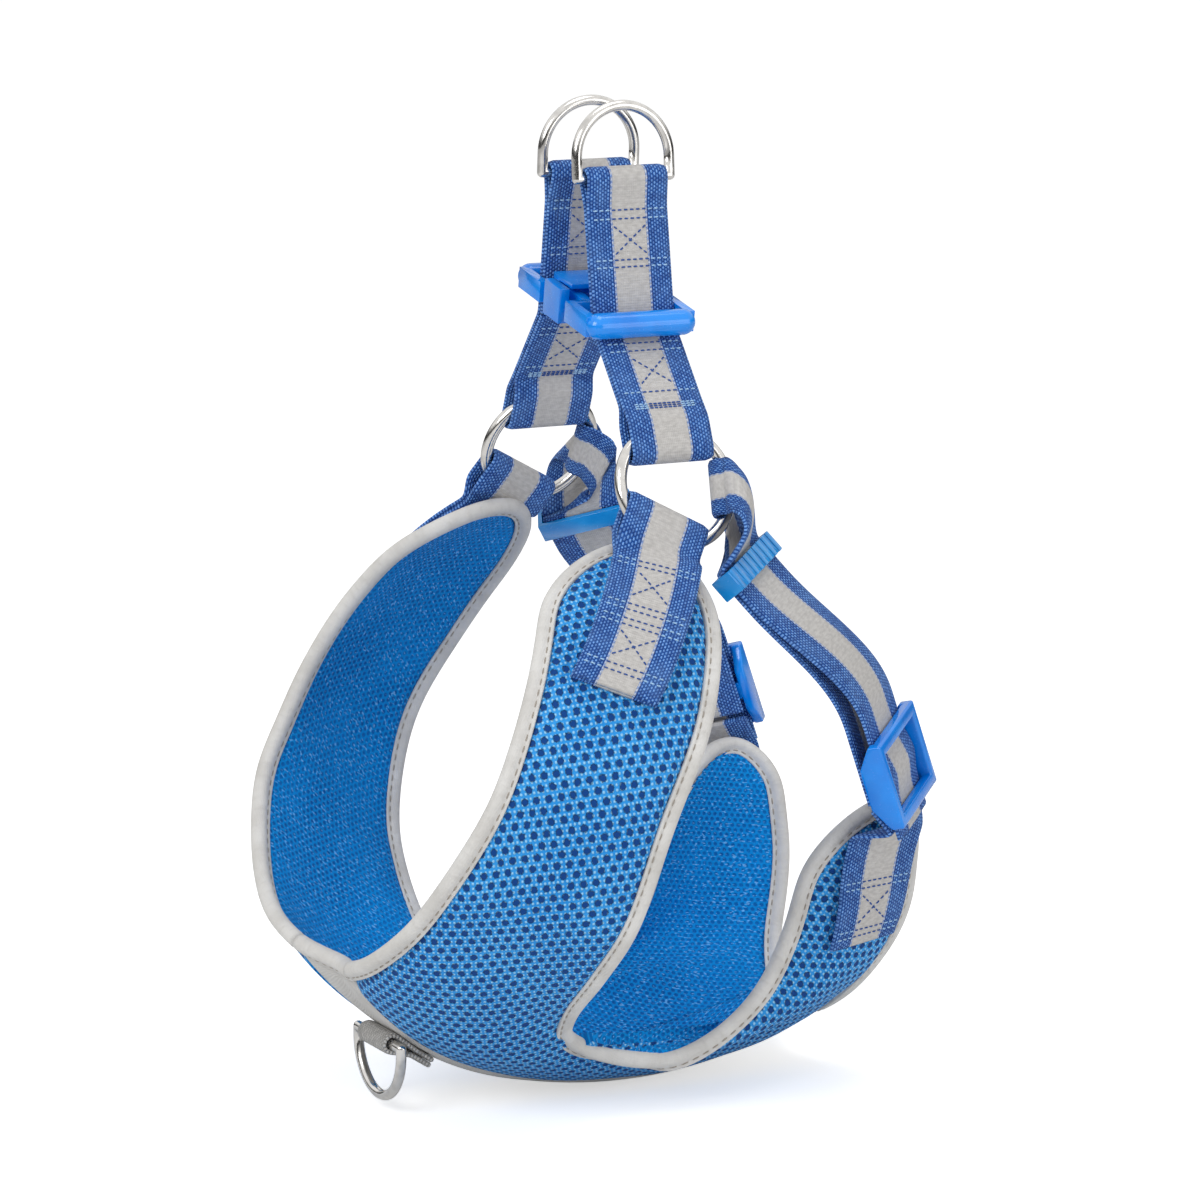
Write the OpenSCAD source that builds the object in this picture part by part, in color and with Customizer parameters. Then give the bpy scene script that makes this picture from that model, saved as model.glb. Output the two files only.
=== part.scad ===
// No-pull vest harness for a medium dog: a padded vest of two mirrored halves, webbing
// straps, metal rings and a side-release buckle. Z is up, the chest faces -Y and the
// dog's left side is +X. The origin is the middle of the dog's chest.

/* [Webbing] */
// Width of every strap
webbing_w = 25; // [20:0.5:25.5]
// Thickness of one layer of webbing
webbing_t = 1.6; // [1.2:0.1:2]
// Width of the reflective stripe woven into the straps
stripe_w = 10.5; // [6:0.5:14]
// Thickness of the reflective stripe
stripe_t = 0.3; // [0.2:0.1:0.5]

/* [Vest] */
// Thickness of the perforated outer mesh
mesh_t = 2.2; // [1.6:0.1:3]
// Thickness of the inner lining
lining_t = 1.5; // [1:0.1:2]
// Width of the edge binding on each face
binding_w = 5; // [4:0.5:6]
// Thickness of the bound edge
binding_t = 5.2; // [4.6:0.1:6]
// How far the panels arch outward along the belly line
arch = 8; // [5:0.5:10]

/* [Rings] */
// Wire diameter of the side rings
ring_wire = 3.5; // [3:0.1:3.6]
// Radius of the side rings to the middle of the wire
ring_r = 16.8; // [16.4:0.1:17.2]
// Wire diameter of the D-rings
dee_wire = 3; // [2.6:0.1:3.2]
// Width of the D-rings to the middle of the wire
dee_w = 29; // [28:0.5:31]
// Height of the leash rings from the bar to the top of the bow
dee_h = 20; // [18:0.5:25]

/* [Buckle] */
// Outer width of the buckle
buckle_w = 33; // [32:0.5:35]
// Height of the socket half
buckle_h = 10; // [9:0.5:11]

/* [Hidden] */
$fn = 32;

blue = [0.10, 0.24, 0.70];
mesh_blue = [0.25, 0.55, 0.92];
lining_blue = [0.02, 0.35, 0.75];
grey = [0.74, 0.73, 0.71];
plastic = [0.02, 0.42, 0.95];

// Edges of one half of the vest, each an evenly stepped smooth curve from the belly
// line out to the limb's tip. The notch is the low corner of the leg opening, and the
// seam joins it to the belly line.
notch = [36, -29, -117];
seam = [[0, -30, -135], [14, -30, -132], [26, -30, -126], notch];
neck_edge = [[0, -86, -95], [18, -91, -91], [36, -93, -82], [53, -89, -70], [66, -81, -55],
             [69, -72, -39], [67, -64, -23], [60, -55, -6], [48, -46, 9], [32.8, -37, 19.6]];
leg_front = [notch, [45, -34, -108], [64, -34, -93], [78, -31, -76], [83, -23, -48],
             [78, -9, -22], [63, 2, 2], [41.8, 9.8, 19.5]];
leg_rear = [notch, [40, -12, -125], [41, 8, -121], [41, 25, -109], [42, 34, -92],
            [42, 40, -74], [44, 50, -54]];
belly_edge = [[0, 61, -125], [13, 65, -122], [24, 70, -113], [31, 76, -100], [35, 79, -88],
              [38, 79, -74], [42, 79, -54]];
// Shares of a limb's length: the end of the seam, and where the rounded tip begins
seam_end = 0.3;
tip_start = [0.87, 0.86];
// Length of each limb, and of the seam, for a share of 1
limb_len = [200, 145];
seam_len = 140;
// Half-width of the grey strip, as shares at the neck, the seam and the belly edge
strip_end = [0.11, 0.08, 0.15];
split_gap = 0.4;
seam_rows = 5;
limb_rows = 12;
tip_rows = 6;
tip_angle = 86;
columns = 8;

// Both back straps hang in one upright plane across the dog
strap_y = -1.2;
// Side rings lean outwards with the straps that meet in them
ring_at = [42.6, strap_y, 38.6];
ring_lean = 22;
tab_angle = 240;
girth_angle = -6;
girth_fold_w = 16;
ring_gap = 0.3;
eye_r = ring_wire / 2 + ring_gap;
layer_gap = 0.1;

// The keeper and the slider hold the girth strap straight, and it bows out between them
keeper_at = [50, 18, 16.2];
keeper_up = unit([-0.375, -0.549, 0.747]);
keeper_side = across_strap([-0.59, 0.76, 0.27], keeper_up);
slider_at = [58, 61.2, -43.6];
slider_up = unit([0, -0.328, 0.945]);
slider_side = across_strap([-0.65, 0.72, 0.25], slider_up);
tail_drop = 5.6;

// Back straps lean in from the side rings to the leash rings
strap_mid = [17, 81];
strap_high = [11, 122];
dee_gap = 0.35;
dee_eye_r = dee_wire / 2 + dee_gap;

// The buckle hangs a little askew between the back straps
buckle_at = [0, strap_y, 86.5];
buckle_tilt = 10.5;
buckle_turn = -3.2;

// Place of the chest ring's bar along the chest, and how far its tab runs back
chest_s = -0.25;
chest_tab_len = 13;
chest_tab_w = 18;
chest_dee_h = 16.5;

function unit(v) = v / norm(v);
function across_strap(v, way) = unit(v - (v * way) * way);
function span(p0, p1, p2, p3, u) =
    p1 + 0.5 * u * (p2 - p0 + u * (2 * p0 - 5 * p1 + 4 * p2 - p3 + u * (3 * (p1 - p2) + p3 - p0)));
function across_belly(p) = [-p.x, p.y, p.z];
// Smooth curve through points p at u steps along. Ahead of its first point it goes on to
// the point before, or to its own mirror image across the belly line.
function spline(p, u, before) =
    let (n = len(p) - 1, i = min(floor(u), n - 1))
    span(i > 0 ? p[i - 1] : is_undef(before) ? across_belly(p[1]) : before,
         p[i], p[i + 1], i < n - 1 ? p[i + 2] : 2 * p[n] - p[n - 1], u - i);
function along(p, t) =
    t < 0 ? across_belly(spline(p, -t * (len(p) - 1))) : spline(p, t * (len(p) - 1));
function opening_edge(p, other, t) =
    t < seam_end ? along(seam, t / seam_end)
                 : spline(p, (t - seam_end) / (1 - seam_end) * (len(p) - 1), other[1]);
// The two edges of a limb: limb 0 is the shoulder arm, limb 1 the wing under the ribs
function front_edge(limb, t) =
    limb == 0 ? along(neck_edge, t) : opening_edge(leg_rear, leg_front, t);
function back_edge(limb, t) =
    limb == 0 ? opening_edge(leg_front, leg_rear, t) : along(belly_edge, t);
function limb_mid(limb, t) = (front_edge(limb, t) + back_edge(limb, t)) / 2;
function limb_width(limb, t) = norm(back_edge(limb, t) - front_edge(limb, t));
step = 0.004;
function limb_out(limb, t) =
    unit(cross(back_edge(limb, t) - front_edge(limb, t),
               limb_mid(limb, t + step) - limb_mid(limb, t - step)));
function limb_arch(t) = arch * (1 - 0.45 * min(1, t / 0.5));
// A point of the vest's middle surface: s runs from -1 at the front edge to 1 at the back
function skin(limb, s, t) =
    let (a = front_edge(limb, t), b = back_edge(limb, t))
    (a + b) / 2 + s * (b - a) / 2 + limb_arch(t) * (1 - s * s) * limb_out(limb, t);
function patch_out(limb, s, t) =
    unit(cross(skin(limb, s + step, t) - skin(limb, s - step, t),
               skin(limb, s, t + step) - skin(limb, s, t - step)));
function skin_out(limb, s, t) =
    let (on_seam = t < seam_end && abs(s - (1 - 2 * limb)) < 0.01)
    on_seam ? unit(patch_out(0, 1, t) + patch_out(1, -1, t)) : patch_out(limb, s, t);

// Share of the limb where the grey strip ends, for a place across the limb
function strip_share(limb, s) =
    let (k = (1 + s) / 2)
    strip_end[limb] * (1 - k) + strip_end[limb + 1] * k;
function notch_share(inset) = seam_end - inset / seam_len;
// How far the panel is held back from each edge, which is nothing along the seam
function open_inset(inset, t) =
    let (k = (t - notch_share(inset)) / 0.06)
    k <= 0 ? 0 : k < 1 ? inset * sin(90 * k) : inset;
function last_row() = seam_rows + limb_rows + tip_rows;
// Place [s, t] of row i, column share v (-1 to 1), for a panel inset from the edge
function grid_place(limb, i, v, inset, start_gap) =
    let (n1 = notch_share(inset), t1 = tip_start[limb],
         reach = 1 - t1 - inset / limb_len[limb],
         phi = i <= seam_rows + limb_rows ? 0
             : tip_angle * (i - seam_rows - limb_rows) / tip_rows,
         begin = strip_share(limb, v) + start_gap / seam_len,
         t = i <= seam_rows ? begin + (n1 - begin) * i / seam_rows
           : i <= seam_rows + limb_rows ? n1 + (t1 - n1) * (i - seam_rows) / limb_rows
           : t1 + reach * sin(phi),
         w = limb_width(limb, t),
         open = open_inset(inset, t),
         lo = -1 + 2 * (limb == 0 ? inset : open) / w,
         hi = 1 - 2 * (limb == 0 ? open : inset) / w)
    [(lo + hi) / 2 + v * cos(phi) * (hi - lo) / 2, t];

// Closed solid between two offsets of one half of the vest
module half_skin(inset, low, high, gap) {
    rows = last_row();
    row_points = 2 * (columns + 1);
    places = [for (i = [0:rows]) for (limb = [0, 1]) for (j = [0:columns])
              concat([limb], grid_place(limb, i, 2 * j / columns - 1, inset, gap))];
    middle = [for (p = places) skin(p[0], p[1], p[2])];
    out = [for (p = places) skin_out(p[0], p[1], p[2])];
    count = len(places);
    points = concat([for (k = [0:count - 1]) middle[k] + high * out[k]],
                    [for (k = [0:count - 1]) middle[k] + low * out[k]]);
    function at(limb, i, j) =
        limb == 1 && j == 0 && i <= seam_rows ? i * row_points + columns
                                               : i * row_points + limb * (columns + 1) + j;
    quads = [for (i = [0:rows - 1]) for (limb = [0, 1]) for (j = [0:columns - 1])
             [at(limb, i, j), at(limb, i, j + 1), at(limb, i + 1, j + 1), at(limb, i + 1, j)]];
    rim = concat([for (j = [0:columns]) at(0, 0, j)], [for (j = [1:columns]) at(1, 0, j)],
                 [for (i = [1:rows]) at(1, i, columns)],
                 [for (j = [columns - 1:-1:0]) at(1, rows, j)],
                 [for (i = [rows - 1:-1:seam_rows]) at(1, i, 0)],
                 [for (i = [seam_rows + 1:rows]) at(0, i, columns)],
                 [for (j = [columns - 1:-1:0]) at(0, rows, j)],
                 [for (i = [rows - 1:-1:1]) at(0, i, 0)]);
    faces = concat([for (q = quads) each [[q[2], q[1], q[0]], [q[3], q[2], q[0]]]],
                   [for (q = quads) each [[q[0], q[1], q[2]] + [1, 1, 1] * count,
                                          [q[0], q[2], q[3]] + [1, 1, 1] * count]],
                   [for (k = [0:len(rim) - 1])
                    let (a = rim[k], b = rim[(k + 1) % len(rim)])
                    each [[a, b, a + count], [b, b + count, a + count]]]);
    polyhedron(points, faces);
}

// Solid swept along frames, each [middle, across, out], with a section of [across, out]
module swept(frames, sections) {
    n = len(sections[0]);
    last = len(frames) - 1;
    points = [for (k = [0:last]) for (p = sections[min(k, len(sections) - 1)])
              frames[k][0] + p[0] * frames[k][1] + p[1] * frames[k][2]];
    faces = concat([[for (j = [n - 1:-1:0]) j]], [[for (j = [0:n - 1]) last * n + j]],
                   [for (k = [0:last - 1]) for (j = [0:n - 1])
                    let (a = k * n + j, b = k * n + (j + 1) % n)
                    each [[a, b, a + n], [b, b + n, a + n]]]);
    polyhedron(points, faces);
}

// Place of the binding's middle all round one half's edge, from the neck to the belly
function binding_places(gap) =
    let (rows = last_row(), inset = binding_w / 2)
    concat([for (i = [0:rows]) concat([0], grid_place(0, i, -1, inset, gap))],
           [concat([0], grid_place(0, rows, 0, inset, gap))],
           [for (i = [rows:-1:seam_rows]) concat([0], grid_place(0, i, 1, inset, gap))],
           [for (i = [seam_rows + 1:rows]) concat([1], grid_place(1, i, -1, inset, gap))],
           [concat([1], grid_place(1, rows, 0, inset, gap))],
           [for (i = [rows:-1:0]) concat([1], grid_place(1, i, 1, inset, gap))]);
binding_round = 1.6;
binding_section = let (a = binding_w / 2, b = binding_t / 2, r = binding_round)
    [[-a, r - b], [r - a, -b], [a - r, -b], [a, r - b],
     [a, b - r], [a - r, b], [r - a, b], [-a, b - r]];

// Frames [middle, side, out] along points, where side is the direction of the width
function frames(points, sides) =
    let (last = len(points) - 1)
    [for (k = [0:last])
     let (t = points[min(k + 1, last)] - points[max(k - 1, 0)], side = unit(sides[k]))
     [points[k], side, unit(cross(side, t))]];
module bound_edge(points, out) {
    last = len(points) - 1;
    sides = [for (k = [0:last])
             cross(out[k], unit(points[min(k + 1, last)] - points[max(k - 1, 0)]))];
    swept(frames(points, sides), [binding_section]);
}
// Half the binding, which stands a little further out than in, as the mesh is thicker
// than the lining
module edge_binding() color(grey) {
    places = binding_places(split_gap);
    out = [for (p = places) skin_out(p[0], p[1], p[2])];
    bound_edge([for (k = [0:len(places) - 1])
                skin(places[k][0], places[k][1], places[k][2])
                + out[k] * (mesh_t - lining_t) / 2], out);
}
half_steps = 4;
function centred(limb, s, share, lift) =
    let (p = skin(limb, s, abs(share)) + lift * skin_out(limb, s, abs(share)))
    share < 0 ? across_belly(p) : p;
// The stretch of binding that crosses the belly line at the neck or under the belly
module middle_binding(limb) color(grey) {
    front = limb == 0 ? -1 : 1;
    end = strip_share(limb, front);
    lift = (mesh_t - lining_t) / 2;
    shares = [for (k = [-half_steps:half_steps]) end * k / half_steps];
    at = [for (u = shares) front * (1 - binding_w / limb_width(limb, abs(u)))];
    points = [for (k = [0:len(shares) - 1]) centred(limb, at[k], shares[k], lift)];
    out = [for (k = [0:len(shares) - 1]) centred(limb, at[k], shares[k], 1)
                                         - centred(limb, at[k], shares[k], 0)];
    bound_edge(points, out);
}
// Closed solid between two offsets of the middle strip, from the neck to the belly edge
module middle_skin(low, high) {
    across = [for (k = [-half_steps:half_steps]) k / half_steps];
    n = len(across);
    lines = 6;
    rows = [for (limb = [0, 1]) for (r = [limb:lines]) [limb, 2 * r / lines - 1]];
    function point(row, u, lift) =
        let (limb = row[0], share = u * strip_share(limb, row[1]),
             edge = 2 * (binding_w + 0.1) / limb_width(limb, abs(share)),
             s = limb == 0 ? max(row[1], edge - 1) : min(row[1], 1 - edge))
        centred(limb, s, share, lift);
    points = concat([for (row = rows) for (u = across) point(row, u, high)],
                    [for (row = rows) for (u = across) point(row, u, low)]);
    count = len(rows) * n;
    m = len(rows) - 1;
    rim = concat([for (j = [0:n - 1]) j], [for (i = [1:m]) i * n + n - 1],
                 [for (j = [n - 2:-1:0]) m * n + j], [for (i = [m - 1:-1:1]) i * n]);
    faces = concat([for (i = [0:m - 1]) for (j = [0:n - 2])
                    let (a = i * n + j) each [[a, a + n + 1, a + n], [a, a + 1, a + n + 1]]],
                   [for (i = [0:m - 1]) for (j = [0:n - 2])
                    let (a = i * n + j + count)
                    each [[a, a + n, a + n + 1], [a, a + n + 1, a + 1]]],
                   [for (k = [0:len(rim) - 1])
                    let (a = rim[k], b = rim[(k + 1) % len(rim)])
                    each [[b, a, a + count], [b, a + count, b + count]]]);
    polyhedron(points, faces);
}
module centre_strip() color(grey) middle_skin(0, mesh_t);
module centre_pad() color(lining_blue) middle_skin(-lining_t, 0);

// Webbing along points, with its width along sides. A lifted strip lies on the outside.
module ribbon(points, sides, widths, thick, lift) {
    f = frames(points, sides);
    raised = [for (k = f) [k[0] + lift * k[2], k[1], k[2]]];
    swept(raised, [for (w = widths) [[-w / 2, -thick / 2], [w / 2, -thick / 2],
                                     [w / 2, thick / 2], [-w / 2, thick / 2]]]);
}
module webbing(points, sides, widths) color(blue)
    ribbon(points, sides, widths, webbing_t, 0);
module stripe(points, sides) color(grey)
    ribbon(points, sides, [stripe_w], stripe_t, (webbing_t + stripe_t) / 2 + 0.02);

// The side ring's own frame: x along its axis, y rearwards, z up along the back strap
function from_ring(v) =
    ring_at + [v.x * cos(ring_lean) - v.z * sin(ring_lean), v.y,
               v.x * sin(ring_lean) + v.z * cos(ring_lean)];
function ring_side(angle) = from_ring([0, -sin(angle), cos(angle)]) - ring_at;
// Distance from the ring's centre to the middle of a strap's fold over the wire
function fold_reach(w) =
    let (half = w / 2)
    sqrt(ring_r ^ 2 - half ^ 2) - ring_wire / 2 / cos(asin(half / ring_r)) - ring_gap + eye_r;
fold_r = eye_r + webbing_t / 2;
function ring_fold(angle, w) =
    [for (a = [90:-22.5:-90])
     let (d = fold_reach(w) - fold_r * cos(a))
     from_ring([fold_r * sin(a), d * cos(angle), d * sin(angle)])];
function beside_wire(angle, x, d) = from_ring([x, d * cos(angle), d * sin(angle)]);
wire_clear = ring_r + ring_wire / 2 + ring_gap;

// Shoulder tab: its route on the arm as [s, t], from its low end to where it leaves
tab_low = [-0.13, 0.785];
tab_high = [0.25, 0.955];
tab_steps = 8;
sewn_gap = 0.15;
mesh_lift = mesh_t + webbing_t / 2 + sewn_gap;
edge_lift = (mesh_t - lining_t + binding_t + webbing_t) / 2 + sewn_gap;
// A layer of webbing sewn on a limb, rising to pass over the binding at the tip
function sewn_layer(limb, low, high, steps, extra) =
    [for (k = [0:steps])
     let (p = low + (high - low) * k / steps,
          lift = mesh_lift + (edge_lift - mesh_lift) * sin(90 * k / steps) + extra)
     skin(limb, p[0], p[1]) + lift * skin_out(limb, p[0], p[1])];
// Widths that lie flat on the limb, as near as they can to the direction given
function sewn_sides(limb, low, high, steps, toward) =
    [for (k = [0:steps])
     let (p = low + (high - low) * k / steps, out = skin_out(limb, p[0], p[1]))
     unit(toward - (toward * out) * out)];
function backwards(p) = [for (k = [len(p) - 1:-1:0]) p[k]];
tab_outer = concat(sewn_layer(0, tab_low, tab_high, tab_steps, webbing_t + layer_gap),
                   [beside_wire(tab_angle, fold_r, wire_clear)],
                   ring_fold(tab_angle, webbing_w));
tab_path = concat(tab_outer, [beside_wire(tab_angle, -fold_r, wire_clear)],
                  backwards(sewn_layer(0, tab_low, tab_high, tab_steps, 0)));
tab_flat = sewn_sides(0, tab_low, tab_high, tab_steps, ring_side(tab_angle));
tab_turn = [for (k = [0:len(ring_fold(0, webbing_w)) + 1]) ring_side(tab_angle)];
tab_sides = concat(tab_flat, tab_turn, backwards(tab_flat));
module shoulder_tab() webbing(tab_path, tab_sides, [webbing_w]);
module shoulder_stripe() stripe(tab_outer, tab_sides);

// Girth strap: up through the slider and keeper, out in an arch, round the ring and back
// down behind
keeper_len = 6.6;
slider_len = 26;
below = slider_len / 2 + 4.5;
above = slider_len / 2 + 5;
behind = webbing_t + layer_gap;
arch_steps = 6;
bow_steps = 8;
bow_pull = [46, 50];
// A station of the girth strap: the middle of its width, the width's direction, the width
function station(p, side, w) = concat(p, side, [w]);
function at_slider(up, drop) =
    station(slider_at + up * slider_up - drop * cross(slider_side, slider_up), slider_side,
            webbing_w);
function at_keeper(up, drop) =
    station(keeper_at + up * keeper_up - drop * cross(keeper_side, keeper_up), keeper_side,
            webbing_w);
function around(fold) = [for (q = fold) station(q, ring_side(girth_angle), girth_fold_w)];
girth_fold = around(ring_fold(girth_angle, girth_fold_w));
// The bow between the slider's end at a and the keeper's end at b
function bowed(a, b) =
    [for (k = [0:bow_steps])
     let (u = k / bow_steps, e = u * u * (3 - 2 * u), m = (1 - e) * a + e * b,
          p = [m[0], m[1], m[2]] + u * (1 - u) * (1 - u) * bow_pull[0] * slider_up
                                 - u * u * (1 - u) * bow_pull[1] * keeper_up)
     station(p, unit([m[3], m[4], m[5]]), webbing_w)];
outer_run = concat([at_slider(-below, 0)], bowed(at_slider(above, 0), at_keeper(-8, 0)));
inner_run = backwards(concat([for (z = [-6, above]) at_slider(z, tail_drop)],
                             drop_first(bowed(at_slider(above, tail_drop),
                                              at_keeper(-8, behind)))));
arch_out = [at_keeper(4.2, 0), station([52.5, 16.3, 29.6], [-0.8, 0.53, 0.27], 22),
            station([51.1, 15.5, 35.9], [-0.78, 0.45, 0.43], 20),
            station([47.5, 13.4, 39], [-0.62, 0.3, 0.72], 18), girth_fold[0]];
arch_in = [girth_fold[len(girth_fold) - 1], station([38.6, 17.5, 30.9], [-0.42, 0.2, 0.88], 19),
           station([42.8, 15.8, 25.6], [-0.55, 0.45, 0.7], 22), at_keeper(4.2, behind)];
function smooth(p, steps) =
    [for (k = [0:steps]) spline(p, k / steps * (len(p) - 1), 2 * p[0] - p[1])];
function drop_last(p) = [for (k = [0:len(p) - 2]) p[k]];
function drop_first(p) = [for (k = [1:len(p) - 1]) p[k]];
girth_outer = concat(outer_run, drop_last(smooth(arch_out, 2 * arch_steps)), girth_fold);
girth_line = concat(girth_outer, drop_first(smooth(arch_in, arch_steps)), inner_run);
function places_of(line) = [for (g = line) [g[0], g[1], g[2]]];
function sides_of(line) = [for (g = line) [g[3], g[4], g[5]]];
girth_widths = [for (g = girth_line) g[6]];
module girth_strap() webbing(places_of(girth_line), sides_of(girth_line), girth_widths);
module girth_stripe() stripe(places_of(girth_outer), sides_of(girth_outer));

// Places a piece on the girth strap: x out, y across, z up the strap
module on_strap(p, side, up) {
    out = cross(side, up);
    multmatrix([for (k = [0:2]) [out[k], side[k], up[k], p[k]]]) children();
}
strap_top = webbing_t / 2 + stripe_t + 0.02;
loop_gap = 0.35;
keeper_wall = 1.3;
ribs = 9;
module keeper() color(plastic) on_strap(keeper_at, keeper_side, keeper_up) {
    low = -webbing_t / 2 - behind - loop_gap;
    high = strap_top + loop_gap;
    in_w = webbing_w + 2 * loop_gap;
    out_w = in_w + 2 * keeper_wall;
    difference() {
        translate([low - keeper_wall, -out_w / 2, -keeper_len / 2])
            cube([high - low + 2 * keeper_wall, out_w, keeper_len]);
        translate([low, -in_w / 2, -keeper_len])
            cube([high - low, in_w, 2 * keeper_len]);
    }
    for (k = [0:ribs - 1])
        translate([high + keeper_wall - 0.2, (k + 0.5) * out_w / ribs - out_w / 2 - 0.8,
                   -keeper_len / 2])
            cube([0.6, 1.6, keeper_len]);
}
rail_w = 3;
bar_t = 2.8;
end_bar = 3.6;
middle_bar = 5;
module slider() color(plastic) on_strap(slider_at, slider_side, slider_up) {
    inside = webbing_w / 2 + loop_gap;
    low = webbing_t / 2 + loop_gap;
    high = strap_top + loop_gap;
    half = slider_len / 2;
    for (side = [-1, 1]) {
        translate([0, side * (inside + rail_w / 2) + rail_w / 2, 0]) rotate([90, 0, 0])
            linear_extrude(rail_w)
                polygon([[high + bar_t, -half], [high + bar_t, half], [high - 1, half],
                         [-low - bar_t, 6], [-low - bar_t, -6], [high - 1, -half]]);
        translate([high, -inside - 0.5, side > 0 ? half - end_bar : -half])
            cube([bar_t, 2 * inside + 1, end_bar]);
    }
    translate([-low - bar_t, -inside - 0.5, -middle_bar / 2])
        cube([bar_t, 2 * inside + 1, middle_bar]);
}

// Wing tab: webbing sewn on the wing's outer face, up behind the slider
wing_low = [0.15, 0.67];
wing_high = [0.05, 0.94];
wing_steps = 5;
wing_tab_path = concat(sewn_layer(1, wing_low, wing_high, wing_steps, 0),
                       places_of([at_slider(-16, behind), at_slider(-8, 5.5)]));
wing_sides = concat(sewn_sides(1, wing_low, wing_high, wing_steps, [0, 1, 0]),
                    [slider_side, slider_side]);
module wing_tab() webbing(wing_tab_path, wing_sides, [webbing_w]);

// Back strap: one doubled band from the side ring, past the buckle, to the leash ring
bar_fold_r = dee_eye_r + webbing_t / 2;
half_layers = (webbing_t + layer_gap) / 2;
function flat(p) = [p.x, strap_y, p.y];
function right_of(v) = [v.y, -v.x];
eye_end = [from_ring([0, 0, 24]).x, from_ring([0, 0, 24]).z];
low_dir = unit(strap_mid - eye_end);
high_dir = unit(strap_high - strap_mid);
mid_out = unit(right_of(low_dir) + right_of(high_dir));
back_outer = concat(
    [for (a = [180:-22.5:0]) flat(strap_high + bar_fold_r * (cos(a) * right_of(high_dir)
                                                            + sin(a) * high_dir))],
    [flat(strap_high - 8 * high_dir + half_layers * right_of(high_dir)),
     flat(strap_mid + half_layers * mid_out),
     flat(eye_end + half_layers * right_of(low_dir)),
     beside_wire(90, fold_r, wire_clear)],
    ring_fold(90, webbing_w));
back_path = concat(
    [flat(strap_mid + 0.3 * high_dir - half_layers * mid_out),
     flat(strap_high - 8 * high_dir - half_layers * right_of(high_dir))],
    back_outer,
    [beside_wire(90, -fold_r, wire_clear), flat(eye_end - half_layers * right_of(low_dir)),
     flat(strap_mid - 0.3 * low_dir - half_layers * mid_out)]);
back_sides = [for (p = back_path) [0, -1, 0]];
module back_strap() webbing(back_path, back_sides, [webbing_w]);
module back_stripe() stripe(back_outer, back_sides);

module side_ring() color("silver") translate(ring_at) rotate([0, 90 - ring_lean, 0])
    rotate_extrude($fn = 64) translate([ring_r, 0]) circle(d = ring_wire, $fn = 24);
// D-ring with its bar along x, its bow upwards
module dee(w, h) {
    r = w / 2;
    rotate([0, 90, 0]) cylinder(d = dee_wire, h = w, center = true, $fn = 24);
    for (side = [-1, 1]) {
        translate([side * r, 0, 0]) cylinder(d = dee_wire, h = h - r, $fn = 24);
        translate([side * r, 0, 0]) sphere(d = dee_wire, $fn = 24);
    }
    translate([0, 0, h - r]) rotate([90, 0, 0])
        rotate_extrude(angle = 180, $fn = 64) translate([r, 0]) circle(d = dee_wire, $fn = 24);
}
leash_lean = 4;
module leash_ring() color("silver") translate(flat(strap_high)) rotate([0, -leash_lean, 0])
    rotate([0, 0, 90]) dee(dee_w, dee_h);
chest_middle = skin(0, chest_s, 0);
chest_face = [0, chest_middle.y, chest_middle.z];
chest_normal = skin_out(0, chest_s, 0);
chest_out = unit([0, chest_normal.y, chest_normal.z]);
chest_back = cross(chest_out, [-1, 0, 0]);
chest_bar = chest_face + (mesh_t + 0.1 + webbing_t / 2 + bar_fold_r) * chest_out;
module chest_ring() color("silver") translate(chest_bar) rotate([180, 0, 0])
    dee(dee_w, chest_dee_h);
chest_tab_path = concat(
    [chest_bar - bar_fold_r * chest_out + chest_tab_len * chest_back],
    [for (a = [0:22.5:180]) chest_bar - bar_fold_r * (cos(a) * chest_out
                                                      + sin(a) * chest_back)],
    [chest_bar + 8 * chest_back + (webbing_t + layer_gap - bar_fold_r) * chest_out,
     chest_bar + chest_tab_len * chest_back + (webbing_t + layer_gap - bar_fold_r) * chest_out]);
module chest_tab() color(grey)
    ribbon(chest_tab_path, [for (p = chest_tab_path) [1, 0, 0]], [chest_tab_w], webbing_t, 0);

// Buckle: x points to the dog's left, and the strap's two slots are at the far ends
bar_x = 24.4;
bar_d = 7.4;
cross_out = 11.4;
cross_in = 9;
arm_t = 2.6;
root_r = 1.5;
prong_y = 9;
pad_in = 13.6;
pad_len = 11;
plate_t = 1.3;
plate_half = 11.2;
mouth_x = 1;
module at_buckle()
    translate(buckle_at) rotate([0, buckle_tilt, buckle_turn]) children();
// Bar, arms and crossbar that hold a strap, on the +x side
module strap_frame(height) {
    half = buckle_w / 2;
    reach = half - bar_d / 2;
    translate([bar_x, reach, 0]) rotate([90, 0, 0]) cylinder(d = bar_d, h = 2 * reach);
    for (side = [-1, 1]) {
        translate([bar_x, side * reach, 0]) sphere(d = bar_d);
        translate([cross_in, side > 0 ? half - arm_t : -half, -height / 2])
            cube([bar_x - cross_in, arm_t, height]);
    }
    translate([cross_in, -half, -height / 2]) cube([cross_out - cross_in, buckle_w, height]);
}
module buckle_fork() color(plastic) at_buckle() {
    difference() {
        strap_frame(6);
        for (side = [-1, 1]) translate([cross_in - 0.2, side * prong_y, -buckle_h])
            cylinder(r = root_r + 0.05, h = 2 * buckle_h);
    }
    translate([-4, -2, -1.8]) cube([cross_in + 5, 4, 3.6]);
}
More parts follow.
